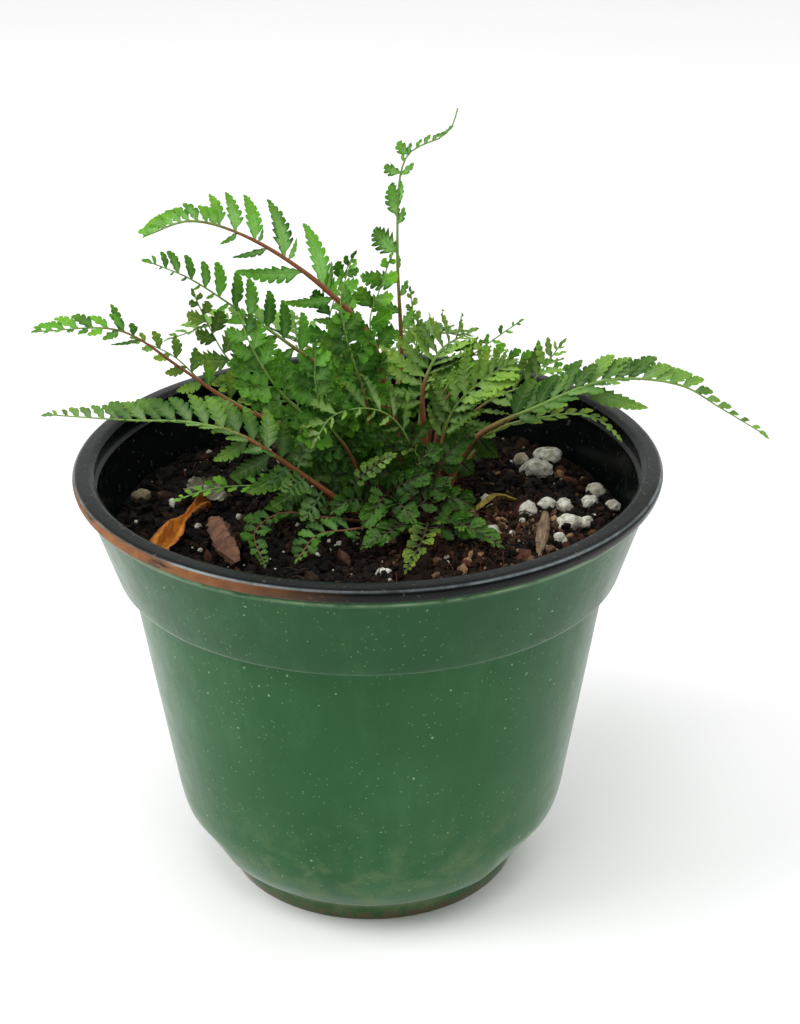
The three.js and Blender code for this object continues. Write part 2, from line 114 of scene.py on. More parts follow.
def cappedFaces(rows, columns, turn=-1, start=0):
    # the grid's quads and a flat cap on each end; turn is -1 or 1, whichever way round they point outwards
    last = start + (rows - 1) * columns
    return (gridFaces(rows, columns)[:, ::turn] + start).tolist() + [
        list(range(start, start + columns))[::-turn], list(range(last, last + columns))[::turn]]


def closedGrid(rings, first, last, turn=-1):
    # points and faces of rings that close on a single point at each end
    rows, columns = rings.shape[:2]
    k, end = np.arange(columns), (rows - 1) * columns
    after = (k + 1) % columns
    fans = (np.stack([np.full(columns, rows * columns), after, k], 1),
            np.stack([np.full(columns, rows * columns + 1), end + k, end + after], 1))
    faces = [face for group in (gridFaces(rows, columns), *fans) for face in group[:, ::turn].tolist()]
    return np.vstack([rings.reshape(-1, 3), first, last]), faces


def globe(rows, columns):
    polar, turn = np.linspace(0, np.pi, rows)[1:-1][:, None], circle(columns)[None, :]
    rings = [np.sin(polar) * np.cos(turn), np.sin(polar) * np.sin(turn), np.cos(polar) + 0 * turn]
    return closedGrid(np.stack(rings, -1), [0, 0, 1], [0, 0, -1])


def tube(line, radius, facing, sides=8):
    # a ring of points round every step of the path, its radius given for each step, with flat end caps
    along, up, side = pathFrames(line, facing)
    angle = circle(sides)[None, :, None]
    ring = np.cos(angle) * side[:, None, :] + np.sin(angle) * up[:, None, :]
    points = line[:, None, :] - ring * radius[:, None, None]
    return points.reshape(-1, 3), cappedFaces(len(line), sides)


def part(points, faces, slot=0, uv=None, **fields):
    faces = faces.tolist() if isinstance(faces, np.ndarray) else faces
    return {"points": np.asarray(points, float), "faces": faces, "slot": slot, "uv": uv, "fields": fields}


def linked(name, data):
    made = bpy.data.objects.new(name, data)
    bpy.context.scene.collection.objects.link(made)
    return made


def makePiece(name, parts, materials, nodes=(), sharp=None, smooth=True):
    # the parts as one mesh in metres, with their UVs and with their fields as point attributes
    start, faces, slots = 0, [], []
    for one in parts:
        faces += [[v + start for v in face] for face in one["faces"]]
        slots += np.broadcast_to(one["slot"], len(one["faces"])).tolist()
        start += len(one["points"])
    mesh = bpy.data.meshes.new(name)
    mesh.from_pydata((np.vstack([one["points"] for one in parts]) * 0.001).tolist(), [], faces)
    mesh.polygons.foreach_set("material_index", np.array(slots, np.int32))
    mesh.polygons.foreach_set("use_smooth", np.full(len(faces), smooth))
    if any(one["uv"] is not None for one in parts):
        uv = np.vstack([one["uv"] if one["uv"] is not None else np.zeros((len(one["points"]), 2))
                        for one in parts])
        corner = np.empty(len(mesh.loops), np.int32)
        mesh.loops.foreach_get("vertex_index", corner)
        mesh.uv_layers.new(name="UVMap").data.foreach_set("uv", uv[corner].ravel())
    for key in sorted({key for one in parts for key in one["fields"]}):
        given = [one["fields"].get(key) for one in parts]
        wide = next(g.ndim for g in given if g is not None) > 1
        value = np.concatenate([np.zeros((len(one["points"]), 3)[:1 + wide]) if g is None else g
                                for g, one in zip(given, parts)])
        kind, socket = ("FLOAT_VECTOR", "vector") if wide else ("FLOAT", "value")
        mesh.attributes.new(key, kind, "POINT").data.foreach_set(socket, value.ravel())
    for material in materials:
        mesh.materials.append(material)
    if sharp is not None:
        mesh.set_sharp_from_angle(angle=math.radians(sharp))
    mesh.update()
    piece = linked(name, mesh)
    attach(piece, "root")
    if nodes:
        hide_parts(*nodes)
    return piece


# Material tools
class Tree:
    def __init__(self, name):
        self.material = bpy.data.materials.new(name)
        self.material.use_nodes = True
        self.tree = self.material.node_tree
        self.tree.nodes.clear()
        found = self.add("ShaderNodeTexCoord").outputs
        self.place, self.uv = found["Object"], found["UV"]

    def add(self, kind, inputs=None, **settings):
        made = self.tree.nodes.new(kind)
        for key, value in settings.items():
            setattr(made, key, value)
        for key, value in (inputs or {}).items():
            if isinstance(value, bpy.types.NodeSocket):
                self.tree.links.new(value, made.inputs[key])
            else:
                made.inputs[key].default_value = value
        return made

    def parts(self, vector):
        return self.add("ShaderNodeSeparateXYZ", {0: vector}).outputs

    def amount(self, name):
        return self.add("ShaderNodeAttribute", attribute_name=name).outputs["Fac"]

    def vector(self, name):
        return self.parts(self.add("ShaderNodeAttribute", attribute_name=name).outputs["Vector"])

    def maths(self, kind, a, b=0.0, clamp=False):
        return self.add("ShaderNodeMath", {0: a, 1: b}, operation=kind, use_clamp=clamp).outputs[0]

    def times(self, a, b, clamp=False):
        return self.maths("MULTIPLY", a, b, clamp)

    def plus(self, a, b):
        return self.maths("ADD", a, b)

    def minus(self, a, b):
        return self.maths("SUBTRACT", a, b)

    def apart(self, a, b):
        # how far a and b are from each other
        return self.maths("ABSOLUTE", self.maths("SUBTRACT", a, b))

    def larger(self, a, b):
        return self.maths("MAXIMUM", a, b)

    def span(self, value, low, high, out=(0.0, 1.0)):
        return self.add("ShaderNodeMapRange", {0: value, 1: low, 2: high, 3: out[0], 4: out[1]},
                        interpolation_type="SMOOTHSTEP").outputs[0]

    def noise(self, scale, detail=3.0, rough=0.55, vector=None):
        inputs = {"Vector": vector or self.place, "Scale": scale, "Detail": detail, "Roughness": rough}
        return self.add("ShaderNodeTexNoise", inputs).outputs["Fac"]

    def patches(self, scale, detail, low, high, out=(0.0, 1.0), rough=0.55, vector=None):
        # noise that runs from one end of out to the other between low and high
        return self.span(self.noise(scale, detail, rough, vector), low, high, out)

    def cells(self, scale):
        return self.add("ShaderNodeTexVoronoi", {"Vector": self.place, "Scale": scale}).outputs["Distance"]

    def stretched(self, scale, vector=None):
        return self.add("ShaderNodeMapping", {"Vector": vector or self.place, "Scale": scale}).outputs[0]

    def mix(self, factor, a, b, blend="MIX"):
        inputs = {0: factor, 6: a, 7: b}
        return self.add("ShaderNodeMix", inputs, data_type="RGBA", blend_type=blend).outputs[2]

    def bump(self, height, strength, distance, below=None):
        inputs = {"Height": height, "Strength": strength, "Distance": distance}
        if below is not None:
            inputs["Normal"] = below
        return self.add("ShaderNodeBump", inputs).outputs[0]

    def face(self, colour, rough, normal, specular, **more):
        inputs = {"Base Color": colour, "Roughness": rough, "Normal": normal, "Specular IOR Level": specular}
        return self.add("ShaderNodeBsdfPrincipled", {**inputs, **more}).outputs[0]

    def thin(self, share, colour, glow, rough, normal, specular):
        # a leaf: share of the light comes through it
        through = self.add("ShaderNodeBsdfTranslucent", {"Color": glow, "Normal": normal}).outputs[0]
        front = self.face(colour, rough, normal, specular)
        return self.finish(self.add("ShaderNodeMixShader", {0: share, 1: front, 2: through}).outputs[0])

    def finish(self, shader):
        self.add("ShaderNodeOutputMaterial", {"Surface": shader})
        return self.material


def rgb(*colour):
    # a colour as it looks on screen, 0 to 255, turned into light
    shares = [value / 255 for value in colour]
    return (*(v / 12.92 if v <= 0.04045 else ((v + 0.055) / 1.055) ** 2.4 for v in shares), 1.0)


def setPlace(thing, x, y, z, place):
    matrix = np.eye(4)
    matrix[:3] = np.stack([x, y, z, place], 1)
    thing.matrix_world = Matrix(matrix.tolist())


# Camera: 2.07 picture heights of lens, 25.3 degrees down, as fitted to the pot's outline
cameraLook = {"place": (0, -0.5314, 0.3604), "yaw": -0.96, "pitch": 25.28, "roll": 0.25, "lens": 72.77,
              "sensor": 36, "near": 0.01, "far": 20}


def addCamera(look):
    yaw, pitch, roll = (math.radians(look[key]) for key in ("yaw", "pitch", "roll"))
    right = np.array([math.cos(yaw), math.sin(yaw), 0])
    ahead = np.array([-math.sin(yaw), math.cos(yaw), 0])
    top = np.array([0, 0, 1.0])
    depth = ahead * math.cos(pitch) - top * math.sin(pitch)
    above = ahead * math.sin(pitch) + top * math.cos(pitch)
    data = bpy.data.cameras.new("camera")
    data.lens, data.sensor_width, data.sensor_fit = look["lens"], look["sensor"], "AUTO"
    data.clip_start, data.clip_end = look["near"], look["far"]
    camera = linked("camera", data)
    setPlace(camera, right * math.cos(roll) - above * math.sin(roll),
             right * math.sin(roll) + above * math.cos(roll), -depth, look["place"])
    bpy.context.scene.camera = camera


addCamera(cameraLook)

# Studio: a white sweep, a pale sky all round and three big soft lamps
studio = {
    "over": 0.95, "sides": 0.85, "front": 0.22,  # how bright the sky is overhead, at the sides and in front
    "lamps": [((-0.95, -0.25, 0.95), 0.8, 10.0), ((0.7, 0.1, 1.0), 0.7, 2.6),
              ((-0.1, -0.6, 1.3), 0.5, 3.0)],  # place, size, watts
    "aim": (0, 0, 0.1), "floor": rgb(250, 250, 250), "floorShade": rgb(247, 247, 247), "reach": 4,
}


def addStudio(look):
    scene = bpy.context.scene
    world = bpy.data.worlds.new("sky")
    world.use_nodes = True
    nodes, links = world.node_tree.nodes, world.node_tree.links
    # brightness falls from overhead to the sides and to the front; what the camera sees of it stays white
    towards = nodes.new("ShaderNodeSeparateXYZ")
    links.new(nodes.new("ShaderNodeTexCoord").outputs["Generated"], towards.inputs[0])
    both = nodes.new("ShaderNodeMath")
    both.operation = "MAXIMUM"
    for socket, (source, *ends) in enumerate((("Z", 0.2, 0.75, 0, look["over"]),
                                              ("Y", -0.85, -0.05, look["front"], look["sides"]))):
        level = nodes.new("ShaderNodeMapRange")
        level.interpolation_type = "SMOOTHSTEP"
        links.new(towards.outputs[source], level.inputs[0])
        for k, value in enumerate(ends):
            level.inputs[k + 1].default_value = value
        links.new(level.outputs[0], both.inputs[socket])
    seen = nodes.new("ShaderNodeMix")
    seen.inputs[3].default_value = 1.0
    links.new(nodes.new("ShaderNodeLightPath").outputs["Is Camera Ray"], seen.inputs[0])
    links.new(both.outputs[0], seen.inputs[2])
    links.new(seen.outputs[0], nodes["Background"].inputs["Strength"])
    nodes["Background"].inputs["Color"].default_value = (1, 1, 1, 1)
    scene.world = world
    scene.view_settings.view_transform = "Standard"
    for i, (place, size, watts) in enumerate(look["lamps"]):
        data = bpy.data.lights.new("lamp_%d" % i, "AREA")
        data.shape, data.size, data.energy = "DISK", size, watts
        back = unit(np.array(place) - look["aim"])
        side = unit(np.cross([0, 0, 1.0], back))
        setPlace(linked("lamp_%d" % i, data), side, np.cross(back, side), back, place)
    m = Tree("sweep")
    tint = m.mix(m.noise(6), look["floorShade"], look["floor"])
    m.finish(m.add("ShaderNodeBsdfPrincipled", {"Base Color": tint, "Roughness": 0.9}).outputs[0])
    mesh = bpy.data.meshes.new("floor")
    far = look["reach"]
    mesh.from_pydata([(-far, -far, 0), (far, -far, 0), (far, far, 0), (-far, far, 0)], [], [(0, 1, 2, 3)])
    mesh.materials.append(m.material)
    floor = linked("floor", mesh)


addStudio(studio)
print("camera, light and floor ready")


# The pot: one turned sheet, green outside and black inside and round the rim
pot = {
    "outside": [  # radius, height, rounding of the corner
        (0, 0, 0), (12, 0, 0.6), (13.5, 3, 0.8), (37.3, 3, 0.8), (39, 0, 0.8), (42.9, 0, 0.7),
        (44.4, 6.1, 0.8), (48.6, 9.2, 2.5), (52.6, 14, 3), (55.8, 20.9, 3.5), (57.2, 26.2, 3),
        (68.1, 96.1, 0.5), (71.4, 96.6, 1.4), (79, 120.4, 0.5), (79.6, 121.2, 0.4), (79.5, 122.6, 0.4),
        (80.2, 123.1, 0.4), (81.9, 123.2, 0.7), (82.5, 125.6, 1.2), (81.3, 127, 1), (77.6, 127.1, 0.9),
        (76.3, 126, 0.6),
    ],
    "inside": [
        (76.9, 121.9, 0.5), (75.5, 121.2, 0.5), (76.4, 120, 0.6), (70.6, 97.9, 1), (66.6, 96.4, 0.8),
        (55.6, 27, 3), (54.1, 21.6, 3), (51, 15.3, 3), (47.2, 10.8, 2.5), (42.6, 7.6, 1.5), (41, 4.8, 1),
        (0, 4.8, 0),
    ],
    "dents": (55, 175, 295), "dentDepth": 1.7, "dentWidth": 16, "dentMiddle": 13, "dentHeight": 9,
    "holes": 4, "holeRadius": 5, "holeCircle": 27, "holeSides": 28, "drill": (-2, 9),
    "facets": 168, "blackFrom": 122.9,
}


def roundedProfile(corners, step=3.2):
    # every corner is cut back by its rounding and bridged by a quadratic arc; long runs are split evenly
    p = np.array([c[:2] for c in corners], float)
    out = [p[0]]

    def runTo(end):
        count = int(np.linalg.norm(end - out[-1]) // step)
        for k in range(count):
            out.append(out[-1] + (end - out[-1]) * (1 / (count + 1 - k)))

    for i in range(1, len(p) - 1):
        before, after = p[i - 1] - p[i], p[i + 1] - p[i]
        r = min(corners[i][2], 0.45 * np.linalg.norm(before), 0.45 * np.linalg.norm(after))
        a, b = p[i] + unit(before) * r, p[i] + unit(after) * r
        runTo(a)
        s = np.linspace(0, 1, 5)[:, None] if r > 0.05 else np.zeros((1, 1))
        out += list(a * (1 - s) ** 2 + 2 * p[i] * s * (1 - s) + b * s ** 2)
    runTo(p[-1])
    return np.array(out + [p[-1]])


def turnedShell(profile, look):
    # every profile point goes round the axis, pressed in at the dents; first and last lie on the axis
    angle = circle(look["facets"])
    r, z = profile[1:-1, :1], profile[1:-1, 1:]
    away = np.abs((np.degrees(angle)[None, :] - np.array(look["dents"])[:, None] + 180) % 360 - 180).min(0)
    across = np.clip(1 - (away / look["dentWidth"]) ** 2, 0, None)
    height = np.clip(1 - ((z - look["dentMiddle"]) / look["dentHeight"]) ** 2, 0, None)
    r = r - look["dentDepth"] * across[None, :] * height
    r = r * (1 + 0.0012 * np.sin(2 * angle + 0.6) * smoothStep(z, 20, 100))
    x, y = r * np.sin(angle), -r * np.cos(angle)
    rings = np.stack([x, y, np.broadcast_to(z, x.shape)], -1)
    return closedGrid(rings, [0, 0, profile[0, 1]], [0, 0, profile[-1, 1]], 1)


def potGreen():
    # green outside: cloudy, scuffed, dusted, with splashed earth that thickens towards the foot
    m = Tree("pot_green")
    z = m.parts(m.place)[2]
    green = m.mix(m.patches(14, 4, 0.35, 0.7, rough=0.6), rgb(30, 82, 42), rgb(40, 92, 51))
    # the band above the ledge is painted a darker green: painted shade
    green = m.mix(m.span(z, 0.0955, 0.098, (0, 0.6)), green, rgb(16, 66, 30))
    scuffs = m.patches(60, 5, 0.45, 0.8, (0, 0.4), 0.7, m.stretched((1, 1, 0.35)))
    green = m.mix(scuffs, green, rgb(60, 112, 70))
    grime = m.times(m.span(z, 0.055, 0.004), m.patches(130, 6, 0.42, 0.7, rough=0.7))
    green = m.mix(m.times(grime, 0.7), green, rgb(104, 122, 82))
    green = m.mix(m.times(m.span(z, 0.0055, 0.001), m.patches(320, 4, 0.35, 0.6)), green, rgb(96, 84, 62))
    seam = m.span(m.apart(z, 0.0068), 0.0026, 0.0004, (0, 0.6))
    green = m.mix(m.times(seam, m.patches(150, 5, 0.35, 0.6, rough=0.7)), green, rgb(124, 130, 104))
    # pale specks of dust in two sizes
    dust = m.times(m.span(m.cells(210), 0.09, 0.05), m.patches(45, 3, 0.42, 0.58))
    finer = m.times(m.span(m.cells(560), 0.16, 0.07), m.patches(30, 4, 0.3, 0.54))
    green = m.mix(m.times(m.larger(dust, m.times(finer, 0.5)), 0.7), green, rgb(160, 186, 142))
    # the moulded lines under the lip and at the ledge are painted pale: painted highlights along them
    lineHighlights = m.larger(m.span(m.apart(z, 0.0963), 0.0005, 0.0001, (0, 0.5)),
                     m.span(m.apart(z, 0.1214), 0.0006, 0.0001, (0, 0.55)))
    green = m.mix(m.times(lineHighlights, m.patches(90, 4, 0.3, 0.6)), green, rgb(150, 182, 134))
    rough = m.plus(m.patches(160, 4, 0.3, 0.8, (0.3, 0.42)), m.times(grime, 0.3))
    normal = m.bump(m.noise(900, 2), 0.12, 0.0003)
    normal = m.bump(m.noise(220, 2, vector=m.stretched((1, 1, 0.2))), 0.1, 0.0006, normal)
    return m.finish(m.face(green, rough, normal, 0.16, **{"Sheen Weight": 0.36, "Sheen Roughness": 0.3}))


def potBlack():
    # glossy black inside and over the rim, finely scratched, with streaky brown on the lip at the front left
    m = Tree("pot_black")
    x, y, z = m.parts(m.place)
    dark = m.mix(m.patches(55, 4, 0.4, 0.75), rgb(5, 9, 9), rgb(10, 18, 18))
    turn = m.maths("ARCTAN2", x, m.times(y, -1.0))
    streaks = m.patches(70, 5, 0.28, 0.5, rough=0.65, vector=m.stretched((1, 1, 5)))
    lipBrown = m.times(m.times(m.span(turn, -1.6, -1.15), m.span(turn, 0.0, -0.7)), streaks)
    away = m.plus(m.times(x, x), m.times(y, y))
    lipBrown = m.times(m.times(lipBrown, m.span(z, 0.1268, 0.1258)), m.span(away, 0.0062, 0.0065))
    dark = m.mix(m.times(lipBrown, 0.9), dark, m.mix(m.noise(260, 3), rgb(96, 52, 24), rgb(168, 112, 64)))
    dust = m.times(m.patches(520, 3, 0.62, 0.72), m.span(z, 0.1, 0.124, (0.15, 0.55)))
    dark = m.mix(dust, dark, rgb(92, 86, 76))
    # a pale line is painted along the lip's outer corner, less so at the front: a painted highlight
    lipHighlight = m.times(m.span(m.apart(z, 0.1264), 0.00034, 0.00012, (0, 0.7)), m.span(away, 0.0064, 0.0066))
    lipHighlight = m.times(lipHighlight, m.patches(34, 5, 0.38, 0.62, (0.12, 1.0), 0.7))
    lipHighlight = m.times(lipHighlight, m.span(m.maths("ABSOLUTE", turn), 0.05, 0.4, (0.3, 1.0)))
    dark = m.mix(lipHighlight, dark, rgb(136, 150, 152))
    rough = m.plus(m.patches(160, 4, 0.3, 0.8, (0.2, 0.34)), m.plus(m.times(lipBrown, 0.35), m.times(dust, 0.5)))
    normal = m.bump(m.noise(240, 3, vector=m.stretched((1, 1, 0.2))), 0.14, 0.0006)
    return m.finish(m.face(dark, rough, normal, 0.16))


def addPot(look):
    outside, inside = roundedProfile(look["outside"]), roundedProfile(look["inside"])
    points, faces = turnedShell(np.vstack([outside, inside]), look)
    black = np.r_[outside[:, 1] > look["blackFrom"], np.ones(len(inside), bool)][1:-2]
    skin = np.repeat(np.r_[black, False, True].astype(int), look["facets"])
    piece = makePiece("nursery_pot_shell", [part(points, faces, skin)], [potGreen(), potBlack()],
                      ["nursery_pot"], sharp=40)
    # the drain holes are drilled through the floor, on a circle round the axis
    corners, sides, turn = [], [], circle(look["holeSides"])
    for i in range(look["holes"]):
        middle = math.radians(45 + 360 / look["holes"] * i)
        x = math.cos(middle) * look["holeCircle"] + look["holeRadius"] * np.cos(turn)
        y = math.sin(middle) * look["holeCircle"] + look["holeRadius"] * np.sin(turn)
        sides += cappedFaces(2, len(turn), 1, len(corners))
        corners += [(a * 0.001, b * 0.001, z * 0.001) for z in look["drill"] for a, b in zip(x, y)]
    drill = bpy.data.meshes.new("drill")
    drill.from_pydata(corners, [], sides)
    cutter = linked("drill", drill)
    cut = piece.modifiers.new("holes", "BOOLEAN")
    cut.object, cut.operation, cut.solver = cutter, "DIFFERENCE", "EXACT"
    done = bpy.data.meshes.new_from_object(piece.evaluated_get(bpy.context.evaluated_depsgraph_get()))
    piece.modifiers.clear()
    piece.data = done
    bpy.data.objects.remove(cutter)


addPot(pot)
print("pot ready")


# The soil: a dark bed that fills the pot, with crumbs, fibres and slips of bark strewn over it
soil = {
    "height": 109.2, "fall": 1.6, "ripple": 0.7, "edge": 72.4, "gap": 0.75, "rows": 86, "facets": 156,
    "crumbs": 5200, "fibres": 640, "chips": 300, "grains": 330, "litter": 520,
}


def soilTop(x, y, look=soil):
    # the level less a fall with the square of the radius, plus a slow ripple: the CAD model's own formula
    r = np.hypot(x, y) / 72
    return look["height"] - look["fall"] * r * r + look["ripple"] * np.sin(0.11 * x + 1) * np.cos(0.13 * y)


def soilSurface(x, y):
    # the same with crumbly lumps of about 6, 3 and 1.5 mm
    return soilTop(x, y) + (lumps(np.stack([x, y, 0 * x], -1) / 6.0, 3, 5) - 0.5) * 3.0 - 0.35


def earth(name, dark, brown, redder):
    # moist peat: near black, with browner lumps and, towards the right, reddish fibre
    m = Tree(name)
    tint = m.amount("tint")
    colour = m.mix(m.patches(330, 5, 0.38, 0.7, rough=0.7), dark, brown)
    patch = m.times(m.patches(32, 3, 0.42, 0.66), m.span(m.parts(m.place)[0], -0.012, 0.03))
    colour = m.mix(m.times(patch, 0.7), colour, redder)
    colour = m.mix(m.span(tint, 0.55, 1.0, (0, 0.9)), colour, redder)
    colour = m.mix(m.span(tint, 0.35, 0.0, (0, 0.7)), colour, dark)
    normal = m.bump(m.noise(1400, 4, 0.7), 0.8, 0.0005)
    return m.finish(m.face(colour, m.patches(500, 3, 0.3, 0.7, (0.55, 0.95)), normal, 0.12))


earthDark = earth("soil", rgb(6, 5, 4), rgb(26, 21, 15), rgb(46, 30, 20))
tanLitter = earth("litter", rgb(54, 32, 22), rgb(94, 64, 46), rgb(146, 120, 86))
fibreRed = earth("soil_fibre", rgb(22, 15, 11), rgb(78, 60, 44), rgb(96, 54, 40))


def stonyWhite(name, pale, shade, spot):
    # chalky volcanic grain: pale, with grey painted shade in its hollows, small pits and brown dust in them
    m = Tree(name)
    hollow = m.noise(520, 5, 0.65)
    colour = m.mix(m.span(hollow, 0.35, 0.65), shade, pale)
    colour = m.mix(m.patches(190, 4, 0.55, 0.75, (0, 0.75)), colour, spot)
    colour = m.mix(m.span(m.amount("tint"), 0.55, 1.0, (0, 0.85)), colour, spot)
    normal = m.bump(m.span(m.cells(1300), 0.1, 0.45), 0.6, 0.0003)
    return m.finish(m.face(colour, 0.85, m.bump(hollow, 0.7, 0.0008, normal), 0.3))


# its second colour is the painted shade of the hollows
whiteGrain = stonyWhite("white_grain", rgb(212, 211, 198), rgb(144, 143, 126), rgb(124, 106, 76))


def addSoilBed(look):
    angle, base = circle(look["facets"]), 5.2
    radius = look["edge"] * np.linspace(0, 1, look["rows"])[1:] ** 0.85
    x, y = radius[:, None] * np.sin(angle), -radius[:, None] * np.cos(angle)
    inner = [(c[0] - look["gap"], c[1] + 0.3) for c in pot["inside"] if 5 < c[1] < 108]
    side = np.array([(72.6, 105.5)] + inner + [(40, base)])
    sideRings = np.stack([side[:, :1] * np.sin(angle), -side[:, :1] * np.cos(angle),
                          np.broadcast_to(side[:, 1:], (len(side), len(angle)))], -1)
    rings = np.concatenate([np.stack([x, y, soilSurface(x, y)], -1), sideRings])
    points, faces = closedGrid(rings, [0, 0, soilSurface(np.zeros(1), np.zeros(1))[0]], [0, 0, base])
    makePiece("potting_soil_bed", [part(points, faces, tint=lumps(points / 9.0, 2, 31))], [earthDark],
              ["potting_soil"])


def icosahedron():
    # its twelve corners and twenty faces
    g = (1 + 5 ** 0.5) / 2
    points = unit(np.array([p for a in (-1, 1) for b in (-g, g) for p in ((0, a, b), (a, b, 0), (b, 0, a))]))
    near = np.linalg.norm(points[:, None] - points[None], axis=-1)
    joined = (near < 1.2) & (near > 0.1)
    faces = []
    for i, j, k in np.ndindex(12, 12, 12):
        if i < j < k and joined[i, j] and joined[j, k] and joined[i, k]:
            out = np.dot(np.cross(points[j] - points[i], points[k] - points[i]), points[i]) > 0
            faces.append((i, j, k) if out else (i, k, j))
    return points, np.array(faces)


def turnsOf(random, n):
    # n random rotations, from unit quaternions
    a, b, c, d = unit(random.normal(size=(n, 4))).T
    return np.stack([np.stack([1 - 2 * (c * c + d * d), 2 * (b * c - a * d), 2 * (b * d + a * c)], -1),
                     np.stack([2 * (b * c + a * d), 1 - 2 * (b * b + d * d), 2 * (c * d - a * b)], -1),
                     np.stack([2 * (b * d - a * c), 2 * (c * d + a * b), 1 - 2 * (b * b + c * c)], -1)], 1)


def heldIn(at, reach):
    # moves the places that lie further out than reach back to it
    return at * np.minimum(1, reach / np.maximum(np.linalg.norm(at, axis=-1), 1))[..., None]


def scattered(random, n, reach):
    r, turn = reach * np.sqrt(random.random(n)), 2 * np.pi * random.random(n)
    return np.stack([r * np.cos(turn), r * np.sin(turn)], 1)


def strewn(random, n, sizes, stretch, rough, sink=0.25, reach=71.0, at=None):
    # n crumbs: an icosahedron each, its corners pulled in and out, stretched, turned and laid on the soil
    points, faces = icosahedron()
    at = scattered(random, n, reach) if at is None else at
    size = sizes[0] + (sizes[1] - sizes[0]) * random.random(n) ** 2.2
    scale = size[:, None] * (1 + (random.random((n, 3)) - 0.5) * stretch)
    corner = points[None] * (1 + (random.random((n, 12, 1)) - 0.5) * rough) * scale[:, None, :]
    corner = np.einsum("nij,nkj->nki", turnsOf(random, n), corner)
    z = soilSurface(at[:, 0], at[:, 1]) + size * (0.5 - sink)
    corner += np.concatenate([at, z[:, None]], 1)[:, None, :]
    every = (faces[None] + 12 * np.arange(n)[:, None, None]).reshape(-1, 3)
    return corner.reshape(-1, 3), every, np.repeat(random.random(n), 12)


def addCrumbs(look):
    random = np.random.default_rng(11)

    def add(name, found, material, tint=lambda t: t, smooth=False):
        points, faces, share = found
        makePiece(name, [part(points, faces, tint=tint(share))], [material], smooth=smooth)

    points, faces, tint = strewn(random, look["crumbs"], (0.45, 1.9), 0.8, 0.5, 0.2)
    points[:, :2] = heldIn(points[:, :2], 72.6)
    chips = strewn(random, look["chips"], (0.7, 2.2), 1.6, 0.4, 0.1, 68)
    add("soil_crumbs", (points, faces, tint), earthDark)
    add("soil_chips", chips, fibreRed, lambda t: 0.1 + 0.7 * t)
    grains = strewn(random, look["grains"], (0.3, 1.25), 0.5, 0.35, 0.0, 70)
    add("small_white_grains", grains, whiteGrain, lambda t: t * 0.8, True)
    spot = heldIn(np.array([34, -12]) + random.normal(size=(look["litter"], 2)) * [20, 20], 69)
    add("litter", strewn(random, len(spot), (0.3, 1.5), 1.5, 0.5, -0.15, at=spot), tanLitter)


def addFibres(look):
    # each fibre is a thin tube of three sides along a bent line of seven points that lies on the soil
    random = np.random.default_rng(23)
    n, steps, sides = look["fibres"], 7, 3
    start = scattered(random, n, 66)
    start[: n // 2] = np.array([26, -16]) + random.normal(size=(n // 2, 2)) * [17, 15]
    start = heldIn(start, 66)
    heading = 2 * np.pi * random.random(n)[:, None] + np.cumsum(random.normal(size=(n, steps)) * 0.3, 1)
    pace = (0.4 + 1.1 * random.random(n) ** 2)[:, None]
    steered = np.stack([np.cumsum(np.cos(heading) * pace, 1), np.cumsum(np.sin(heading) * pace, 1)], -1)
    x, y = np.moveaxis(heldIn(start[:, None, :] + steered, 71.5), -1, 0)
    bow = np.sin(np.linspace(0, np.pi, steps))[None] * (0.4 + 2.2 * random.random(n)[:, None])
    line = np.stack([x, y, soilSurface(x, y) + 0.2 + bow], -1)
    along = unit(np.gradient(line, axis=1))
    up = unit(np.array([0.1, 0, 1.0]) - along * along[..., 2:])
    side = np.cross(along, up)
    angle = circle(sides)[:, None]
    ring = np.cos(angle) * side[..., None, :] + np.sin(angle) * up[..., None, :]
    thick = (0.06 + 0.2 * random.random(n) ** 1.5)[:, None] * np.linspace(1, 0.5, steps)[None]
    points = line[..., None, :] - ring * thick[..., None, None]
    base = (np.arange(n) * steps * sides)[:, None, None]
    faces = (gridFaces(steps, sides)[:, ::-1][None] + base).reshape(-1, 4).tolist()
    last = (steps - 1) * sides
    faces += (np.array([[0, 1, 2], [last + 2, last + 1, last]])[None] + base).reshape(-1, 3).tolist()
    tint = np.repeat(random.random(n), steps * sides)
    makePiece("soil_fibres", [part(points.reshape(-1, 3), faces, tint=tint)], [fibreRed])


addSoilBed(soil)
addCrumbs(soil)
addFibres(soil)
print("soil ready")


# White grains and stones: x, y, radius, flattening, brownness
stones = [
    (-66, 15, 2.4, 0.8, 1), (-56, 8, 1.6, 0.9, 0.5), (45, 0, 2.8, 0.9, 0), (51, 4, 2.2, 0.9, 0),
    (56, 3, 2.4, 0.8, 0.2), (63, 5, 2.6, 0.8, 0.3), (70, 4, 1.9, 0.8, 0.5), (66, 14, 3, 0.7, 0.5),
    (56, -9, 3, 0.9, 0.4), (53, -17, 1.9, 0.9, 0.2), (61, -8, 2.2, 0.8, 0.5), (54, 38, 3.8, 0.8, 0.3),
    (46, 37, 2.4, 0.8, 0.7),
    (50, 28, 4.2, 0.7, 0.1), (34, 7, 2.1, 0.9, 0), (34, -14, 2.2, 0.8, 0), (4, -39, 1.9, 0.8, 0.2),
]


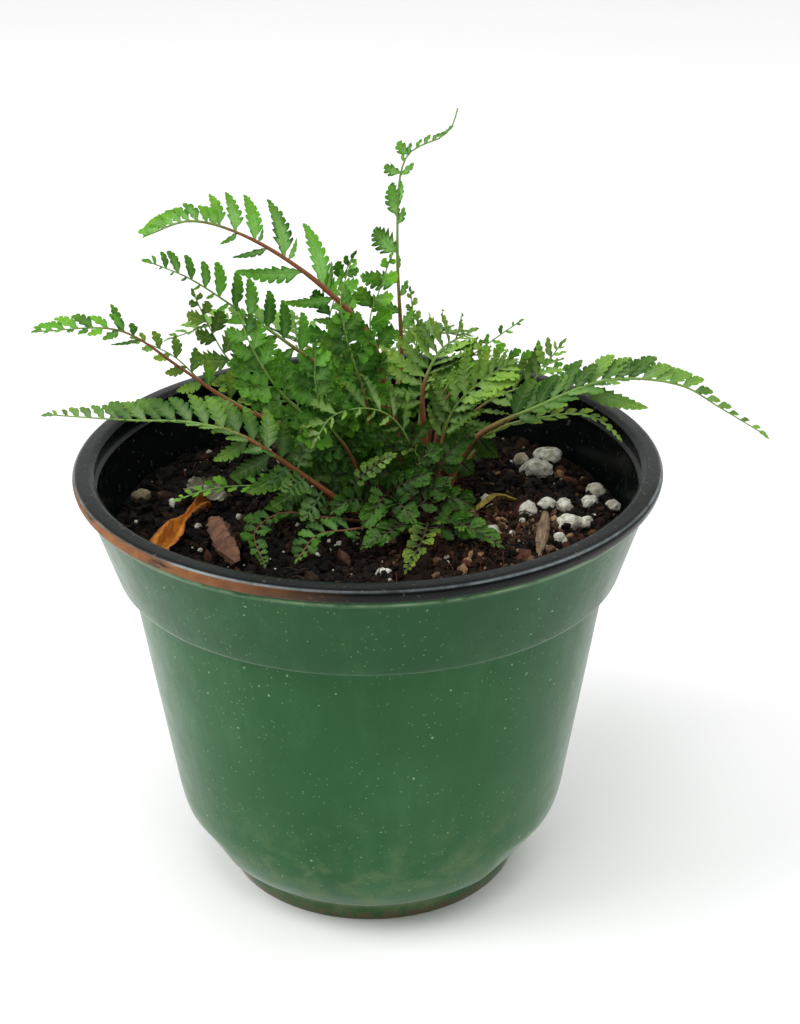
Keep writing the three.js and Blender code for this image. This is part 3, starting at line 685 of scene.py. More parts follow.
def addStone(number, x, y, radius, flat, brown):
    # a globe whose radius swells and shrinks with the noise, flattened and turned
    ball, faces = globe(15, 22)
    i = number - 1
    a = 0.7 + 1.9 * i
    swell = 0.66 + 0.5 * lumps(ball * 1.5 + i * 7.3, 2, 40 + i) + 0.26 * lump(ball * 3.4 + i, i)
    shaped = ball * swell[:, None] * [radius * 1.15, radius * 0.92, radius * flat]
    spun = np.stack([shaped[:, 0] * math.cos(a) - shaped[:, 1] * math.sin(a),
                     shaped[:, 0] * math.sin(a) + shaped[:, 1] * math.cos(a), shaped[:, 2]], 1)
    points = spun + [x, y, soilTop(np.array(x), np.array(y)) + radius * 0.3]
    makePiece("grain_%02d" % number, [part(points, faces, tint=np.full(len(points), 0.4 + 0.6 * brown))],
              [whiteGrain], ["stone_%02d" % number])


for number, stone in enumerate(stones):
    addStone(number + 1, *stone)
print("stones ready")


# Leaves. One blade is a thin lens carried along its midrib, with toothed margins.
def leafMaterial(name, look):
    # green by age along the frond, silvery beside the midrib, darker or purple veins, soft light through it
    m = Tree(name)
    phase, edge = m.parts(m.uv)[:2]
    shade, share, t = m.vector("leaf")
    bright, yellow, silver = m.vector("tone")
    purple = m.amount("wine")
    cloud = m.noise(260, 3)
    off = m.apart(m.times(edge, 2.0), 1.0)
    young = m.plus(m.plus(m.times(share, 0.5), m.times(t, 0.4)), m.times(m.minus(shade, 0.5), 0.7))
    young = m.plus(young, m.times(m.minus(cloud, 0.5), 0.7))
    colour = m.mix(m.span(young, 0.1, 0.9), look["deep"], look["bright"])
    tips = m.span(m.plus(t, m.times(share, 0.5)), 0.3, 1.4)
    colour = m.mix(m.times(yellow, tips, True), colour, look["yellow"])
    bloom = m.times(m.times(silver, m.span(off, 0.95, 0.1)), m.span(cloud, 0.25, 0.6, (0.55, 1.0)))
    colour = m.mix(m.times(bloom, m.span(t, 0.85, 0.1, (0.3, 1.35)), True), colour, look["silver"])
    beat = m.apart(m.maths("FRACT", phase), 0.5)
    ribs = m.times(m.span(beat, 0.12, 0.02), m.span(off, 1.0, 0.5))
    veins = m.larger(m.times(ribs, 0.55), m.span(off, 0.16, 0.05))
    veinColour = m.mix(purple, look["vein"], rgb(72, 30, 44))
    colour = m.mix(m.times(veins, m.plus(0.35, m.times(purple, 0.6))), colour, veinColour)
    # the tone's first number multiplies the colour: painted shade on leaflets low over the crown, and each
    # frond's own brightness, which is partly painted shade
    brightnessAndShade = m.add("ShaderNodeCombineColor", {0: bright, 1: bright, 2: bright}).outputs[0]
    colour = m.mix(1.0, colour, brightnessAndShade, "MULTIPLY")
    height = m.minus(m.minus(m.times(cloud, 0.4), veins), m.times(beat, 1.2))
    rough = m.span(cloud, 0.3, 0.7, (0.42, 0.6))
    return m.thin(look["through"], colour, m.mix(0.5, colour, look["glow"]), rough,
                  m.bump(height, 0.55, 0.0003), 0.22)


def stalkMaterial(name, green, red, dark):
    # red-brown near the foot, green towards the tip, finely roughened and with a few darker scales
    m = Tree(name)
    redness = m.vector("leaf")[0]
    blotch = m.times(m.minus(m.noise(240, 4), 0.5), 0.5)
    colour = m.mix(m.span(m.plus(redness, blotch), 0.25, 0.75), green, red)
    colour = m.mix(m.patches(700, 3, 0.55, 0.75, (0, 0.6)), colour, dark)
    colour = m.mix(m.span(redness, 1.3, 2.0), colour, rgb(62, 44, 36))
    return m.finish(m.face(colour, 0.5, m.bump(m.noise(1500, 3), 0.5, 0.0003), 0.4))


leafLooks = {
    "leaf_green": {
        "deep": rgb(22, 84, 12), "bright": rgb(98, 168, 38), "yellow": rgb(150, 198, 52), "through": 0.3,
        "silver": rgb(140, 192, 104), "vein": rgb(128, 172, 72), "glow": rgb(136, 208, 24)},
    "leaf_grey_green": {
        "deep": rgb(46, 98, 30), "bright": rgb(118, 166, 68), "yellow": rgb(156, 190, 60), "through": 0.27,
        "silver": rgb(146, 176, 118), "vein": rgb(136, 166, 86), "glow": rgb(142, 196, 36)},
    "leaf_pale": {
        "deep": rgb(56, 108, 24), "bright": rgb(132, 180, 66), "yellow": rgb(178, 200, 66), "through": 0.29,
        "silver": rgb(158, 190, 116), "vein": rgb(156, 184, 92), "glow": rgb(152, 204, 36)},
}
leafMaterials = {name: leafMaterial(name, look) for name, look in leafLooks.items()}
stalkSkin = stalkMaterial("stalk", rgb(116, 150, 66), rgb(132, 80, 44), rgb(80, 48, 28))

lobeMarks = np.array([0, 0.16, 0.5, 0.84])  # share of a lobe at each of its stations
lobeNear = np.array([0, 0.8, 1.0, 0.82])    # how far it reaches there, on one side of the blade
lobeFar = np.array([1.0, 0.82, 0, 0.8])     # and on the other, half a lobe on

# How a blade is shaped: peak, round and broad its outline, depth, fade, uneven and slant its teeth, the rest
# how it bends. Then what differs on the fine stalk and the small blades of a divided leaflet.
leafHabit = {"peak": 0.72, "round": 0.75, "broad": 0.15, "depth": 0.5, "fade": 0.45, "uneven": 0.16,
             "slant": 0.75, "sickle": 0.16, "curl": 0.02, "droop": 0.06, "wave": 0.012, "ruffle": 0.12,
             "fold": 0.18}
stripHabit = {"depth": 0, "slant": 0, "uneven": 0, "wave": 0, "ruffle": 0}
smallHabit = {"peak": 1, "round": 0.6, "broad": 0.15, "depth": 0.34, "fade": 0.2, "slant": 0.6, "sickle": 0.1,
              "droop": 0.03, "ruffle": 0.16}


def midrib(base, along, across, normal, length, s, bend):
    # base + along*s, bent to the tip side by sickle*s^2, off its face by curl*s^2 and down by droop*s^2
    def shift(direction, share):
        return direction * (length * share)[..., None]

    line = base + shift(along, s - 0.25 * bend["sickle"] ** 2 * s ** 3)
    line = line + shift(across, bend["sickle"] * s ** 2) + shift(normal, bend["curl"] * s ** 2)
    return line - shift(np.array([0, 0, 1.0]), bend["droop"] * s ** 2)


def bladeRows(base, along, across, normal, length, width, lobes, bend, random):
    # Margins: the midrib plus or minus across*w*tooth, slanted forward by slant*w*tooth and folded up by
    # fold*w. The ring at each station is margin, top of midrib, other margin, underside of midrib.
    n = len(base)
    q = np.r_[(np.arange(lobes)[:, None] + lobeMarks).ravel(), lobes] / lobes
    t = np.r_[0, 0.07 + 0.93 * (1 - (1 - q) ** 1.2)]
    steps = len(t)
    long, wide = length[:, None], width[:, None]
    a, c, m = along[:, None, :], across[:, None, :], normal[:, None, :]
    spear = np.sin(np.pi * np.clip(t, 0, 1) ** bend["peak"]) ** bend["round"]
    wedge = (1 - t) ** 0.7 * smoothStep(t, 0.02, 0.16)
    shape = spear * (1 - bend["broad"]) + wedge * bend["broad"]
    shape = np.maximum(shape * 0.5, 0.0)[None] * wide + np.where(t < 0.03, 0.26, 0.03)[None]
    depth = bend["depth"] * (1 - bend["fade"] * t)[None]
    wobble = 1 + (random.random((n, steps, 2)) - 0.5) * bend["uneven"]
    wave = np.sin(t[None] * (5 + 4 * random.random((n, 1))) + 6 * random.random((n, 1))) * bend["wave"] * long
    s = np.broadcast_to(t[None], (n, steps))
    mid = midrib(base[:, None, :], a, c, m, long, s, bend) + m * (wave * s)[..., None]
    lip = (random.random((n, steps, 2)) - 0.5) * bend["ruffle"] * wide[..., None]

    def margin(k, hand, reach):
        w = shape * (1 - depth * (1 - np.r_[1, np.tile(reach, lobes), 1])) * wobble[..., k]
        edge = mid + c * (hand * w)[..., None] + a * (bend["slant"] * w)[..., None]
        return edge + m * (bend["fold"] * w + lip[..., k] * s)[..., None]

    thick = (0.1 + 0.03 * wide) * (1 - 0.75 * s) * np.where(t < 0.03, 1.8, 1)
    top, under = mid + m * (0.5 * thick)[..., None], mid - m * thick[..., None]
    ring = np.stack([margin(0, -1, lobeNear), top, margin(1, 1, lobeFar), under], 2)
    # where the ring would run the wrong way round, its margins change places
    turned = np.einsum("ni,ni->n", np.cross(across, normal), along) > 0
    ring[turned] = ring[turned][:, :, [2, 1, 0, 3]]
    edge = np.where(turned[:, None, None], np.array([1.0, 0.5, 0, 0.5]), np.array([0, 0.5, 1.0, 0.5]))
    edge = np.broadcast_to(edge, (n, steps, 4))
    uv = np.stack([np.broadcast_to(np.r_[0, q * lobes][None, :, None], edge.shape), edge], -1).reshape(-1, 2)
    block = steps * 4
    caps = np.array([[3, 2, 1, 0], [block - 4, block - 3, block - 2, block - 1]])
    start = (np.arange(n) * block)[:, None, None]
    faces = np.vstack([(some[None] + start).reshape(-1, 4) for some in (gridFaces(steps, 4), caps)])
    return ring.reshape(-1, 3), faces, uv, np.broadcast_to(t[None, :, None], edge.shape).ravel(), block


def rolled(a, b, angle):
    # both directions turned in their own plane, a towards b
    return a * np.cos(angle) + b * np.sin(angle), b * np.cos(angle) - a * np.sin(angle)


def pinnaList(look, random):
    # (share of the stalk, side, length, width, lean, lift, wine, divided) of every leaflet of a frond
    rows = []
    pairs, wine, split, first, last = (look[key] for key in ("pairs", "wine", "split", "bare", "until"))
    nearPart, farPart = look["under"]
    for i in range(pairs):
        for hand in (1, -1):
            u = (i + (0.15 if hand > 0 else 0.5)) / pairs
            share = first + (last - first) * (1 - (1 - u) ** look["crowd"])
            long = look["leaflet"] * (1 - u) ** look["taper"] * (0.8 + 0.9 * u)
            long = max(long * (0.88 + 0.24 * random.random()), look["least"])
            if hand < 0:
                long *= nearPart + (farPart - nearPart) * float(smoothStep(u, 0.15, 0.55))
            if long < 0.9:
                continue
            lean = look["lean"] + look["skew"] * hand - 14 * u + random.normal() * 4
            lift = look["lift"][0 if hand > 0 else 1] + random.normal() * look["scatter"]
            wide = look["wide"] * (1 + 0.45 * u)
            divided = float(long > look["divide"]) * split
            rows.append([share, hand, long, wide * long, lean, lift, wine, divided])
    end = 0.16 * look["leaflet"] + 1.4
    rows.append([last - 0.01, 1, end, 0.42 * end, 4, 0, wine, 0.0])
    count, long, lift = look["skirt"]
    for i in range(2 * count):
        share = 0.1 + (first - 0.1) * (i + 0.5) / (2 * count)
        size = long * (0.75 + 0.4 * random.random())
        lean, raised = 78 + random.normal() * 8, lift + random.normal() * 22
        rows.append([share, (-1) ** i, size, 0.55 * size, lean, raised, wine + 0.15, 1.0])
    for hand, key in ((1, "above"), (-1, "below")):
        for share, long, lean, lift, wide, *rest in look[key]:
            divided = float(wide > 0.5) * split
            rows.append([share, hand, long, wide * long, lean, lift, *(rest or [wine]), divided])
    return rows


def pinnules(columns, bend, every, plump, random):
    # a divided leaflet: pairs of small blades on a fine stalk, each leaning from the midrib towards its tip,
    # and one more at the end; returned as rows of the same kinds of numbers as whole blades
    rows = []
    for b, a, c, n, long, wide, *same, lit in zip(*columns):
        count = max(2, int(round(long / every)))
        s = 0.1 + 0.72 * (np.arange(count) + 0.4) / count
        for hand in (-1, 1):
            lean = np.radians(62 - 22 * s + random.normal(size=count) * 5)[:, None]
            at = midrib(b, a, c, n, long, s + 0.02 * hand, bend)
            d = unit(hand * c * np.sin(lean) + (a + c * (2 * bend["sickle"] * s)[:, None]) * np.cos(lean))
            x = unit(a * np.sin(lean) - hand * c * np.cos(lean))
            x, m = rolled(x, n, np.radians(random.normal(size=(count, 1)) * 8))
            d, m = rolled(d, m, np.radians(bend["fold"] * 50 + random.normal(size=(count, 1)) * 6))
            small = 0.62 * wide * (1 - s) ** 0.6 * (0.9 + 0.6 * s) * (0.85 + 0.3 * random.random(count))
            rows.append((at, d, x, m, small, plump * (0.52 * small + 0.7), *(np.full(count, v) for v in same),
                         lit + random.normal(size=count) * 0.07))
        d = unit(a + c * 1.4 * bend["sickle"])
        last = (midrib(b, a, c, n, long, 0.72, bend), d, unit(c - d * (c @ d)), n, 0.3 * long,
                0.14 * long + 0.4, *same, lit)
        rows.append([np.array(value)[None] for value in last])
    return [np.concatenate(column) for column in zip(*rows)]


def addFrond(name, look, nodes, seed):
    # a stalk, and along it leaflets that are whole or divided; each is tinted by where it sits
    random = np.random.default_rng(seed)
    line = smoothPath(look["points"], 44)
    along, up, side = pathFrames(line, look["facing"])
    side = side * np.where(side @ look["first"] > 0, 1, -1)[:, None]
    shares = np.linspace(0, 1, len(line))
    thick = np.maximum(look["stalk"] * (0.16 + 0.84 * (1 - shares) ** 1.35), 0.2)
    points, faces = tube(line, thick * (1 + 0.05 * np.sin(shares * 37 + seed)), look["facing"])
    red = look["red"] * (1 - smoothStep(shares, look["redTo"] - 0.3, look["redTo"] + 0.25))
    parts = [part(points, faces, 1, leaf=np.stack([red, shares, 0 * shares], 1).repeat(8, 0))]
    share, hand, long, wide, lean, lift, wine, split = np.array(pinnaList(look, random)).T
    lean, lift = np.radians(lean)[:, None], np.radians(lift)[:, None]
    base = sampled(share, shares, line)
    a, u, s = (unit(sampled(share, shares, field)) for field in (along, up, side))
    out = hand[:, None] * s * np.cos(lift) + u * np.sin(lift)
    direction = unit(out * np.sin(lean) + a * np.cos(lean))
    across = unit(a * np.sin(lean) - out * np.cos(lean))
    normal = np.cross(direction, across)
    normal = normal * np.where(np.einsum("ni,ni->n", normal, u) < 0, -1, 1)[:, None]
    twist = np.radians(look["turn"] + random.normal(size=(len(share), 1)) * look["twist"])
    across, normal = rolled(across, normal, twist)
    columns = [base, direction, across, normal, long, wide, share, wine, random.random(len(share))]
    whole, cut = ([column[chosen] for column in columns] for chosen in (split == 0, split > 0))
    habit = {**leafHabit, **look["habit"]}
    sets = [(whole, habit, look["lobeEvery"], 8)]
    if len(cut[0]):
        strip = cut[:4] + [cut[4] * 0.95, 0.5 + 0.09 * cut[5]] + cut[6:]
        small = pinnules(cut, habit, look["every"], look["plump"], random)
        sets += [(strip, {**habit, **stripHabit}, 100, 1), (small, {**habit, **smallHabit}, 1.5, 4)]
    for rows, bend, every, most in sets:
        lobeCount = np.clip(np.round(rows[4] / every), 1, most).astype(int)
        for lobes in np.unique(lobeCount):
            some = [column[lobeCount == lobes] for column in rows]
            points, faces, uv, t, block = bladeRows(*some[:6], lobes, bend, random)
            (x, y, z), share, wine, shade = some[0].T, *some[6:]
            # leaflets low over the crown get less light
            inner = smoothStep(np.hypot(x - 12, y - 12), 48, 20)
            lit = 1 - 0.5 * inner * (1 - smoothStep(z, 112, 146))
            # the tone's first number, lit times the frond's brightness, darkens the leaflet's colour: painted
            # shade
            mood = [lit * (0.88 + 0.24 * shade), 2 * (share * 61.7 % 1), 0.4 + 1.2 * (share * 131.1 % 1)]
            tone = np.repeat(look["tone"] * np.stack(mood, 1), block, 0)
            leaf = np.stack([np.repeat(shade, block), np.repeat(share, block), t], 1)
            parts.append(part(points, faces, 0, uv, leaf=leaf, tone=tone, wine=np.repeat(wine, block)))
    slot = look["finish"]
    makePiece("leaf_" + name, parts, [leafMaterials[slot], stalkSkin], nodes, sharp=75)


# Fronds. Lengths are in millimetres, angles in degrees, places along a stalk in shares of its length.
# What a frond is where its own entry doesn't say: bare and until are where its leaflets begin and end, under
# is how long those of the lower side are beside the others, lean and lift how they stand off the stalk,
# redTo is where its red ends, tone its light, yellow and silver, and skirt the pairs, length and lift of the
# divided leaflets at its foot. above and below list more of them: share, length, lean, lift, width.
usual = {"finish": "leaf_green", "stalk": 0.8, "bare": 0.3, "until": 1, "wide": 0.38, "least": 1.6,
         "crowd": 1.3, "taper": 0.8, "under": (1, 1), "facing": (0, -0.2, 1), "first": (0, 0.4, 1),
         "lean": 62, "skew": 0, "lift": (20, 20), "scatter": 7, "turn": 0, "twist": 7, "red": 0.8,
         "redTo": 0.55, "wine": 0, "lobeEvery": 1.9, "split": 0, "divide": 11, "every": 3.1, "plump": 1.15,
         "skirt": (0, 0, 0), "above": [], "below": [], "habit": {}}
front = {"facing": (0, -0.2, 1), "lobeEvery": 1.5, "habit": {"depth": 0.55, "broad": 0.3, "ruffle": 0.25}}
tuft = {"lobeEvery": 2, "scatter": 12,
        "habit": {"depth": 0.62, "broad": 0.5, "ruffle": 0.4, "fold": 0.3, "wave": 0.03}}
fronds = {
    "tall": {"points": [[11, 27, 110], [10, 30, 150], [9, 31, 177], [10, 31, 199], [12.1, 31, 204.6],
        [16, 31, 207.3], [20.5, 31, 209], [24, 31, 212], [25.8, 30.5, 217.6]], "stalk": 1, "bare": 0.8,
        "until": 0.95, "pairs": 8, "leaflet": 4.2, "least": 1.4, "under": (0, 0), "facing": (0.1, -1, 0.3),
        "first": (-1, 0, 0.2), "lean": 40, "lift": (20, 55), "red": 0.7, "redTo": 0.6,
        "tone": (1.42, 0.15, 1.3), "above": [(0.575, 10.5, 48, 10, 0.75), (0.665, 11, 18, 8, 0.48),
        (0.775, 5.5, 78, 8, 0.8), (0.825, 5, 82, 8, 0.8), (0.5, 12, 78, 12, 0.56), (0.42, 12, 62, 12, 0.56),
        (0.36, 11, 65, 15, 0.56)], "below": [(0.645, 6, 26, 10, 0.4), (0.7, 7, 14, 10, 0.3),
        (0.77, 5.5, 40, 8, 0.42), (0.53, 5, 12, 10, 0.3), (0.46, 6, 35, 10, 0.4), (0.38, 7, 40, 10, 0.5)],
        "habit": {"broad": 0.3, "depth": 0.6}},
    "upper_left": {"points": [[7, 18, 110], [5, 20, 135], [1, 18, 155], [-13, 14, 173], [-33, 8, 189],
        [-47, 2, 195], [-58, -4, 193]], "stalk": 1.7, "bare": 0.83, "pairs": 10, "leaflet": 7.2, "wide": 0.7,
        "least": 3, "under": (0, 0), "facing": (0, -0.75, 0.65), "lean": 60, "lift": (8, -25), "red": 1,
        "redTo": 0.85, "tone": (1.22, 0.3, 0.95), "above": [(0.54, 20, 42, 5, 0.42),
        (0.655, 17.5, 54, 5, 0.42), (0.735, 13.5, 64, 5, 0.48), (0.785, 11.5, 70, 5, 0.5),
        (0.825, 9.5, 72, 5, 0.54), (0.46, 10, 40, 0, 0.4), (0.53, 8.5, 72, 5, 0.26), (0.52, 7.5, 94, 5, 0.28),
        (0.645, 7, 92, 5, 0.3), (0.727, 4.5, 96, 5, 0.34)], "below": [(0.6, 19, 44, -35, 0.36),
        (0.7, 10, 52, -38, 0.3), (0.78, 6, 58, -15, 0.34), (0.5, 15, 60, -45, 0.36),
        (0.43, 12, 60, -30, 0.36)], "habit": {"depth": 0.56, "fade": 0.75, "sickle": 0.2, "broad": 0.8}},
    "upper_left_low": {"points": [[0, 20, 110], [-6, 21, 138], [-22, 20, 153], [-37, 18, 165], [-49, 14, 175],
        [-59, 10, 181]], "stalk": 1.1, "bare": 0.4, "pairs": 12, "leaflet": 13.5, "wide": 0.34,
        "under": (1, 0.3), "facing": (0, -0.75, 0.65), "lean": 68, "lift": (5, -5), "scatter": 4, "twist": 3,
        "tone": (1.1, 0.12, 0.45), "skirt": (3, 13, 15),
        "habit": {"depth": 0.36, "broad": 0.3, "round": 0.5}},
    "far_left": {"points": [[-3, 13, 110], [-19, 15, 127], [-38, 17, 136], [-53, 18, 147], [-69, 16, 159],
        [-91, 8, 162]], "stalk": 1.1, "bare": 0.76, "pairs": 7, "leaflet": 9, "wide": 0.5,
        "under": (0.8, 0.5), "facing": (0, -0.5, 0.85), "lean": 48, "lift": (15, 10), "red": 1.1,
        "redTo": 0.8, "tone": (1.15, 0.2, 0.3), "above": [(0.78, 8.5, 70, 20, 0.4), (0.74, 4, 60, 30, 0.8),
        (0.5, 6, 60, 30, 0.7)], "below": [(0.72, 9, 45, -20, 0.16), (0.45, 8, 60, 10, 0.4)],
        "habit": {"broad": 0.5}},
    "back_left_thin": {"points": [[-4, 22, 110], [-30, 29, 126], [-47, 30, 137], [-56, 30, 146],
        [-66, 28, 152]], "finish": "leaf_pale", "bare": 0.55, "pairs": 6, "leaflet": 10,
        "facing": (0, -0.8, 0.6), "red": 0.2, "tone": (1, 0.3, 0.2), "skirt": (3, 11, 20)},
    "low_left": {"points": [[-2, -4, 110], [-19, -7, 125], [-35, -8, 137], [-49, -8, 141], [-65, -6, 141],
        [-87, -4, 142]], "finish": "leaf_grey_green", "stalk": 1.1, "pairs": 17, "leaflet": 14.5,
        "wide": 0.46, "least": 2.2, "crowd": 1.2, "taper": 1, "under": (0.8, 0.22), "facing": (0, -0.6, 0.8),
        "lean": 58, "lift": (22, 50), "tone": (1, 0.15, 0.6), "skirt": (3, 13, 10),
        "below": [(0.14, 13, 75, -35, 0.55), (0.2, 14, 72, -25, 0.55), (0.27, 14, 70, -32, 0.5),
        (0.34, 13, 68, -30, 0.5), (0.42, 11, 64, -28, 0.46)], "habit": {"depth": 0.45, "broad": 0.55}},
    "right": {"points": [[21, 8, 109], [30, 12, 126], [49, 11, 137], [68, 10, 145], [88, 8, 144],
        [99, 6, 138], [111, 4, 131]], "finish": "leaf_grey_green", "stalk": 1.15, "pairs": 20, "leaflet": 15,
        "wide": 0.44, "least": 2.6, "crowd": 1, "taper": 1.1, "under": (0.8, 0.2), "facing": (0, -0.7, 0.7),
        "lean": 46, "lift": (15, 40), "redTo": 0.35, "tone": (1.1, 0.2, 0.4),
        "below": [(0.5, 19, 44, -30, 0.3), (0.12, 11, 112, -72, 0.6, 1), (0.2, 12, 104, -68, 0.56, 1)],
        "habit": {"depth": 0.42, "broad": 0.5}},
    "inner_right": {"points": [[23, 15, 110], [37, 19, 126], [53, 20, 130], [61, 19, 131], [67, 13, 131],
        [71, 6, 129]], "finish": "leaf_pale", "pairs": 12, "leaflet": 6, "wide": 0.34,
        "facing": (0, -0.4, 0.9), "lean": 36, "red": 0.5, "wine": 0.5, "tone": (0.72, 0.8, 0.6)},
    "back_right": {"points": [[18, 27, 110], [25, 38, 131], [37, 44, 138], [49, 46, 136], [62, 44, 134]],
        "bare": 0.35, "pairs": 12, "leaflet": 7.5, "wide": 0.5, "facing": (0, -0.7, 0.7),
        "tone": (1, 0.2, 0.1)},
    "back_right_sprig": {"points": [[16, 24, 110], [21, 32, 130], [30, 38, 141], [37, 40, 146],
        [45, 42, 151]], "stalk": 0.7, "bare": 0.45, "pairs": 6, "leaflet": 5, "facing": (0, -0.8, 0.6),
        "tone": (1.05, 0.3, 0.1)},
    "centre": {**tuft, "points": [[17, 11, 110], [16, 12, 129], [16, 14, 142], [21, 19, 151], [29, 25, 154]],
        "finish": "leaf_pale", "stalk": 1.5, "bare": 0.5, "pairs": 11, "leaflet": 20, "wide": 0.27,
        "crowd": 1, "facing": (-0.1, -0.9, 0.45), "first": (-1, 0, 0.3), "lean": 70, "skew": 14,
        "lift": (15, 15), "turn": -28, "red": 1, "redTo": 0.7, "tone": (1.02, 0.3, 0.7)},
    "left_broad": {"points": [[-4, 5, 110], [-11, 6, 130], [-19, 4, 139], [-26, 3, 148], [-32, 4, 159],
        [-35, 6, 168]], "stalk": 1, "pairs": 9, "leaflet": 15, "wide": 0.56, "crowd": 1.1, "taper": 0.75,
        "facing": (0.1, -0.9, 0.5), "first": (-1, 0, 0.4), "lean": 56, "lift": (8, 8), "turn": -12,
        "red": 0.2, "tone": (0.8, 0.05, 0.5), "split": 1, "every": 3.9, "plump": 1.4, "skirt": (4, 14, 20),
        "habit": {"depth": 0.66, "broad": 0.6}},
    "back_left": {"points": [[-2, 26, 110], [-22, 36, 128], [-40, 40, 140], [-46, 42, 150], [-50, 42, 160]],
        "finish": "leaf_pale", "bare": 0.35, "pairs": 7, "leaflet": 13, "wide": 0.55,
        "facing": (0, -0.8, 0.6), "first": (-1, 0, 0.5), "red": 0.1, "tone": (0.75, 0.3, 0.2), "split": 1,
        "skirt": (3, 13, 25)},
    "back_twig": {"points": [[14, 32, 109], [16, 40, 131], [15, 42, 142], [14, 43, 151], [13, 44, 160]],
        "finish": "leaf_pale", "stalk": 0.55, "bare": 0.5, "pairs": 6, "leaflet": 6, "wide": 0.5,
        "facing": (0, -1, 0.3), "first": (-1, 0, 0.2), "lean": 50, "red": 0.1, "tone": (1, 0.3, 0.2)},
    "soil_left": {"points": [[-3, 0, 110], [-20, 0, 117], [-35, -2, 119], [-44, -4, 119], [-53, -6, 117]],
        "stalk": 0.7, "pairs": 10, "leaflet": 6.5, "wide": 0.46, "facing": (0, -0.3, 1),
        "tone": (1.1, 0.4, 0.25)},
    "back_arch": {"points": [[2, 29, 110], [-8, 42, 134], [-24, 52, 144], [-42, 55, 147], [-58, 50, 144]],
        "finish": "leaf_grey_green", "stalk": 0.9, "bare": 0.25, "pairs": 13, "leaflet": 14,
        "facing": (0, 0, 1), "tone": (0.9, 0.2, 0.3), "split": 1},
    "front": {**front, "points": [[14, -7, 110], [10, -15, 113], [6, -22, 114], [-1, -29, 113]], "stalk": 0.6,
        "pairs": 9, "leaflet": 6.2, "wide": 0.64, "first": (-1, 0, 0), "red": 2, "redTo": 1.7, "wine": 0.7,
        "tone": (0.42, 0.1, 0.6)},
    "front_yellow": {**front, "points": [[16, -9, 110], [16, -21, 115], [14, -33, 116], [10, -43, 113]],
        "finish": "leaf_pale", "stalk": 0.6, "bare": 0.2, "pairs": 9, "leaflet": 6.6, "wide": 0.64,
        "first": (-1, 0, 0), "red": 2, "redTo": 1.7, "wine": 0.9, "tone": (0.5, 0.7, 0)},
    "front_right": {**front, "points": [[19, -6, 110], [22, -17, 115], [27, -24, 116], [35, -29, 113]],
        "stalk": 0.6, "pairs": 9, "leaflet": 6.6, "wide": 0.64, "first": (0, 1, 0), "red": 2, "redTo": 1.7,
        "wine": 0.8, "tone": (0.44, 0.6, 0.2)},
    "front_left": {**front, "points": [[0, -8, 110], [-12, -13, 114], [-24, -14, 116], [-31, -24, 115],
        [-28, -38, 112.5]], "stalk": 0.7, "bare": 0.35, "pairs": 12, "leaflet": 6.4, "wide": 0.6,
        "first": (0, 1, 0), "red": 1.7, "redTo": 1.3, "wine": 0.4, "tone": (0.34, 0.05, 0.8), "every": 3.4,
        "skirt": (2, 7, 5)},
    "front_left_small": {**front, "points": [[5, -10, 110], [-6, -21, 114], [-14, -26, 115],
        [-19, -35, 112.5]], "stalk": 0.6, "bare": 0.4, "pairs": 7, "leaflet": 7.2, "wide": 0.6,
        "first": (0, 1, 0), "red": 1.6, "redTo": 1.1, "tone": (0.5, 0.1, 0.8), "every": 3.4,
        "skirt": (2, 6, 5)},
    "middle_right": {"points": [[20, 21, 110], [26, 25, 124], [36, 28, 132], [48, 30, 137], [56, 32, 147]],
        "finish": "leaf_pale", "pairs": 10, "leaflet": 15, "wide": 0.31, "facing": (0, -0.8, 0.6),
        "lift": (10, 25), "scatter": 10, "turn": -25, "tone": (0.92, 0.2, 0.6), "lobeEvery": 2, "every": 3.3,
        "skirt": (3, 12, 20), "habit": {"depth": 0.6, "broad": 0.5, "ruffle": 0.35, "fold": 0.3}},
    "inner_up": {"points": [[4, 25, 110], [-4, 35, 136], [-11, 40, 150], [-8, 42, 162], [-4, 42, 171]],
        "stalk": 0.7, "pairs": 8, "leaflet": 14, "wide": 0.5, "facing": (0, -1, 0.4), "first": (-1, 0, 0.3),
        "turn": -15, "tone": (0.9, 0.1, 0.25), "split": 1, "plump": 1.3, "skirt": (3, 13, 30)},
    "beside_tall": {"points": [[11, 21, 110], [7, 25, 134], [1, 26, 157], [4, 27, 167], [7, 27, 176]],
        "stalk": 0.7, "bare": 0.4, "pairs": 6, "leaflet": 10, "wide": 0.66, "facing": (0, -1, 0.4),
        "first": (-1, 0, 0.3), "tone": (1.2, 0.3, 0.2), "split": 1, "skirt": (3, 11, 15),
        "habit": {"broad": 0.5}},
    "middle_left": {"points": [[1, 2, 110], [-5, -1, 128], [-11, -4, 139], [-14, -5, 149], [-14, -4, 160]],
        "pairs": 8, "leaflet": 15, "wide": 0.52, "facing": (0.1, -1, 0.5), "first": (-1, 0, 0.3), "turn": -15,
        "tone": (0.8, 0.08, 0.4), "split": 1, "every": 3.9, "plump": 1.4, "skirt": (2, 13, 25),
        "below": [(0.24, 12, 66, 25, 0.36), (0.34, 9, 70, 20, 0.4)], "habit": {"depth": 0.66, "broad": 0.6}},
    "middle_low": {**tuft, "points": [[10, 4, 110], [12, 4, 127], [6, 0, 139], [-2, -4, 143], [-10, -8, 142],
        [-14, -11, 137]], "finish": "leaf_pale", "stalk": 0.6, "pairs": 9, "leaflet": 14, "wide": 0.3,
        "taper": 0.6, "under": (0.55, 0.35), "facing": (0, -0.5, 0.9), "lean": 66, "lift": (15, -15),
        "red": 0.35, "tone": (0.95, 0.2, 0.7), "every": 3.4, "skirt": (2, 11, -30)},
    "upper_middle": {"points": [[3, 9, 110], [0, 9, 138], [-5, 8, 157], [-7, 8, 170], [-4, 9, 181]],
        "bare": 0.35, "until": 0.78, "pairs": 7, "leaflet": 15, "wide": 0.5, "facing": (0, -1, 0.5),
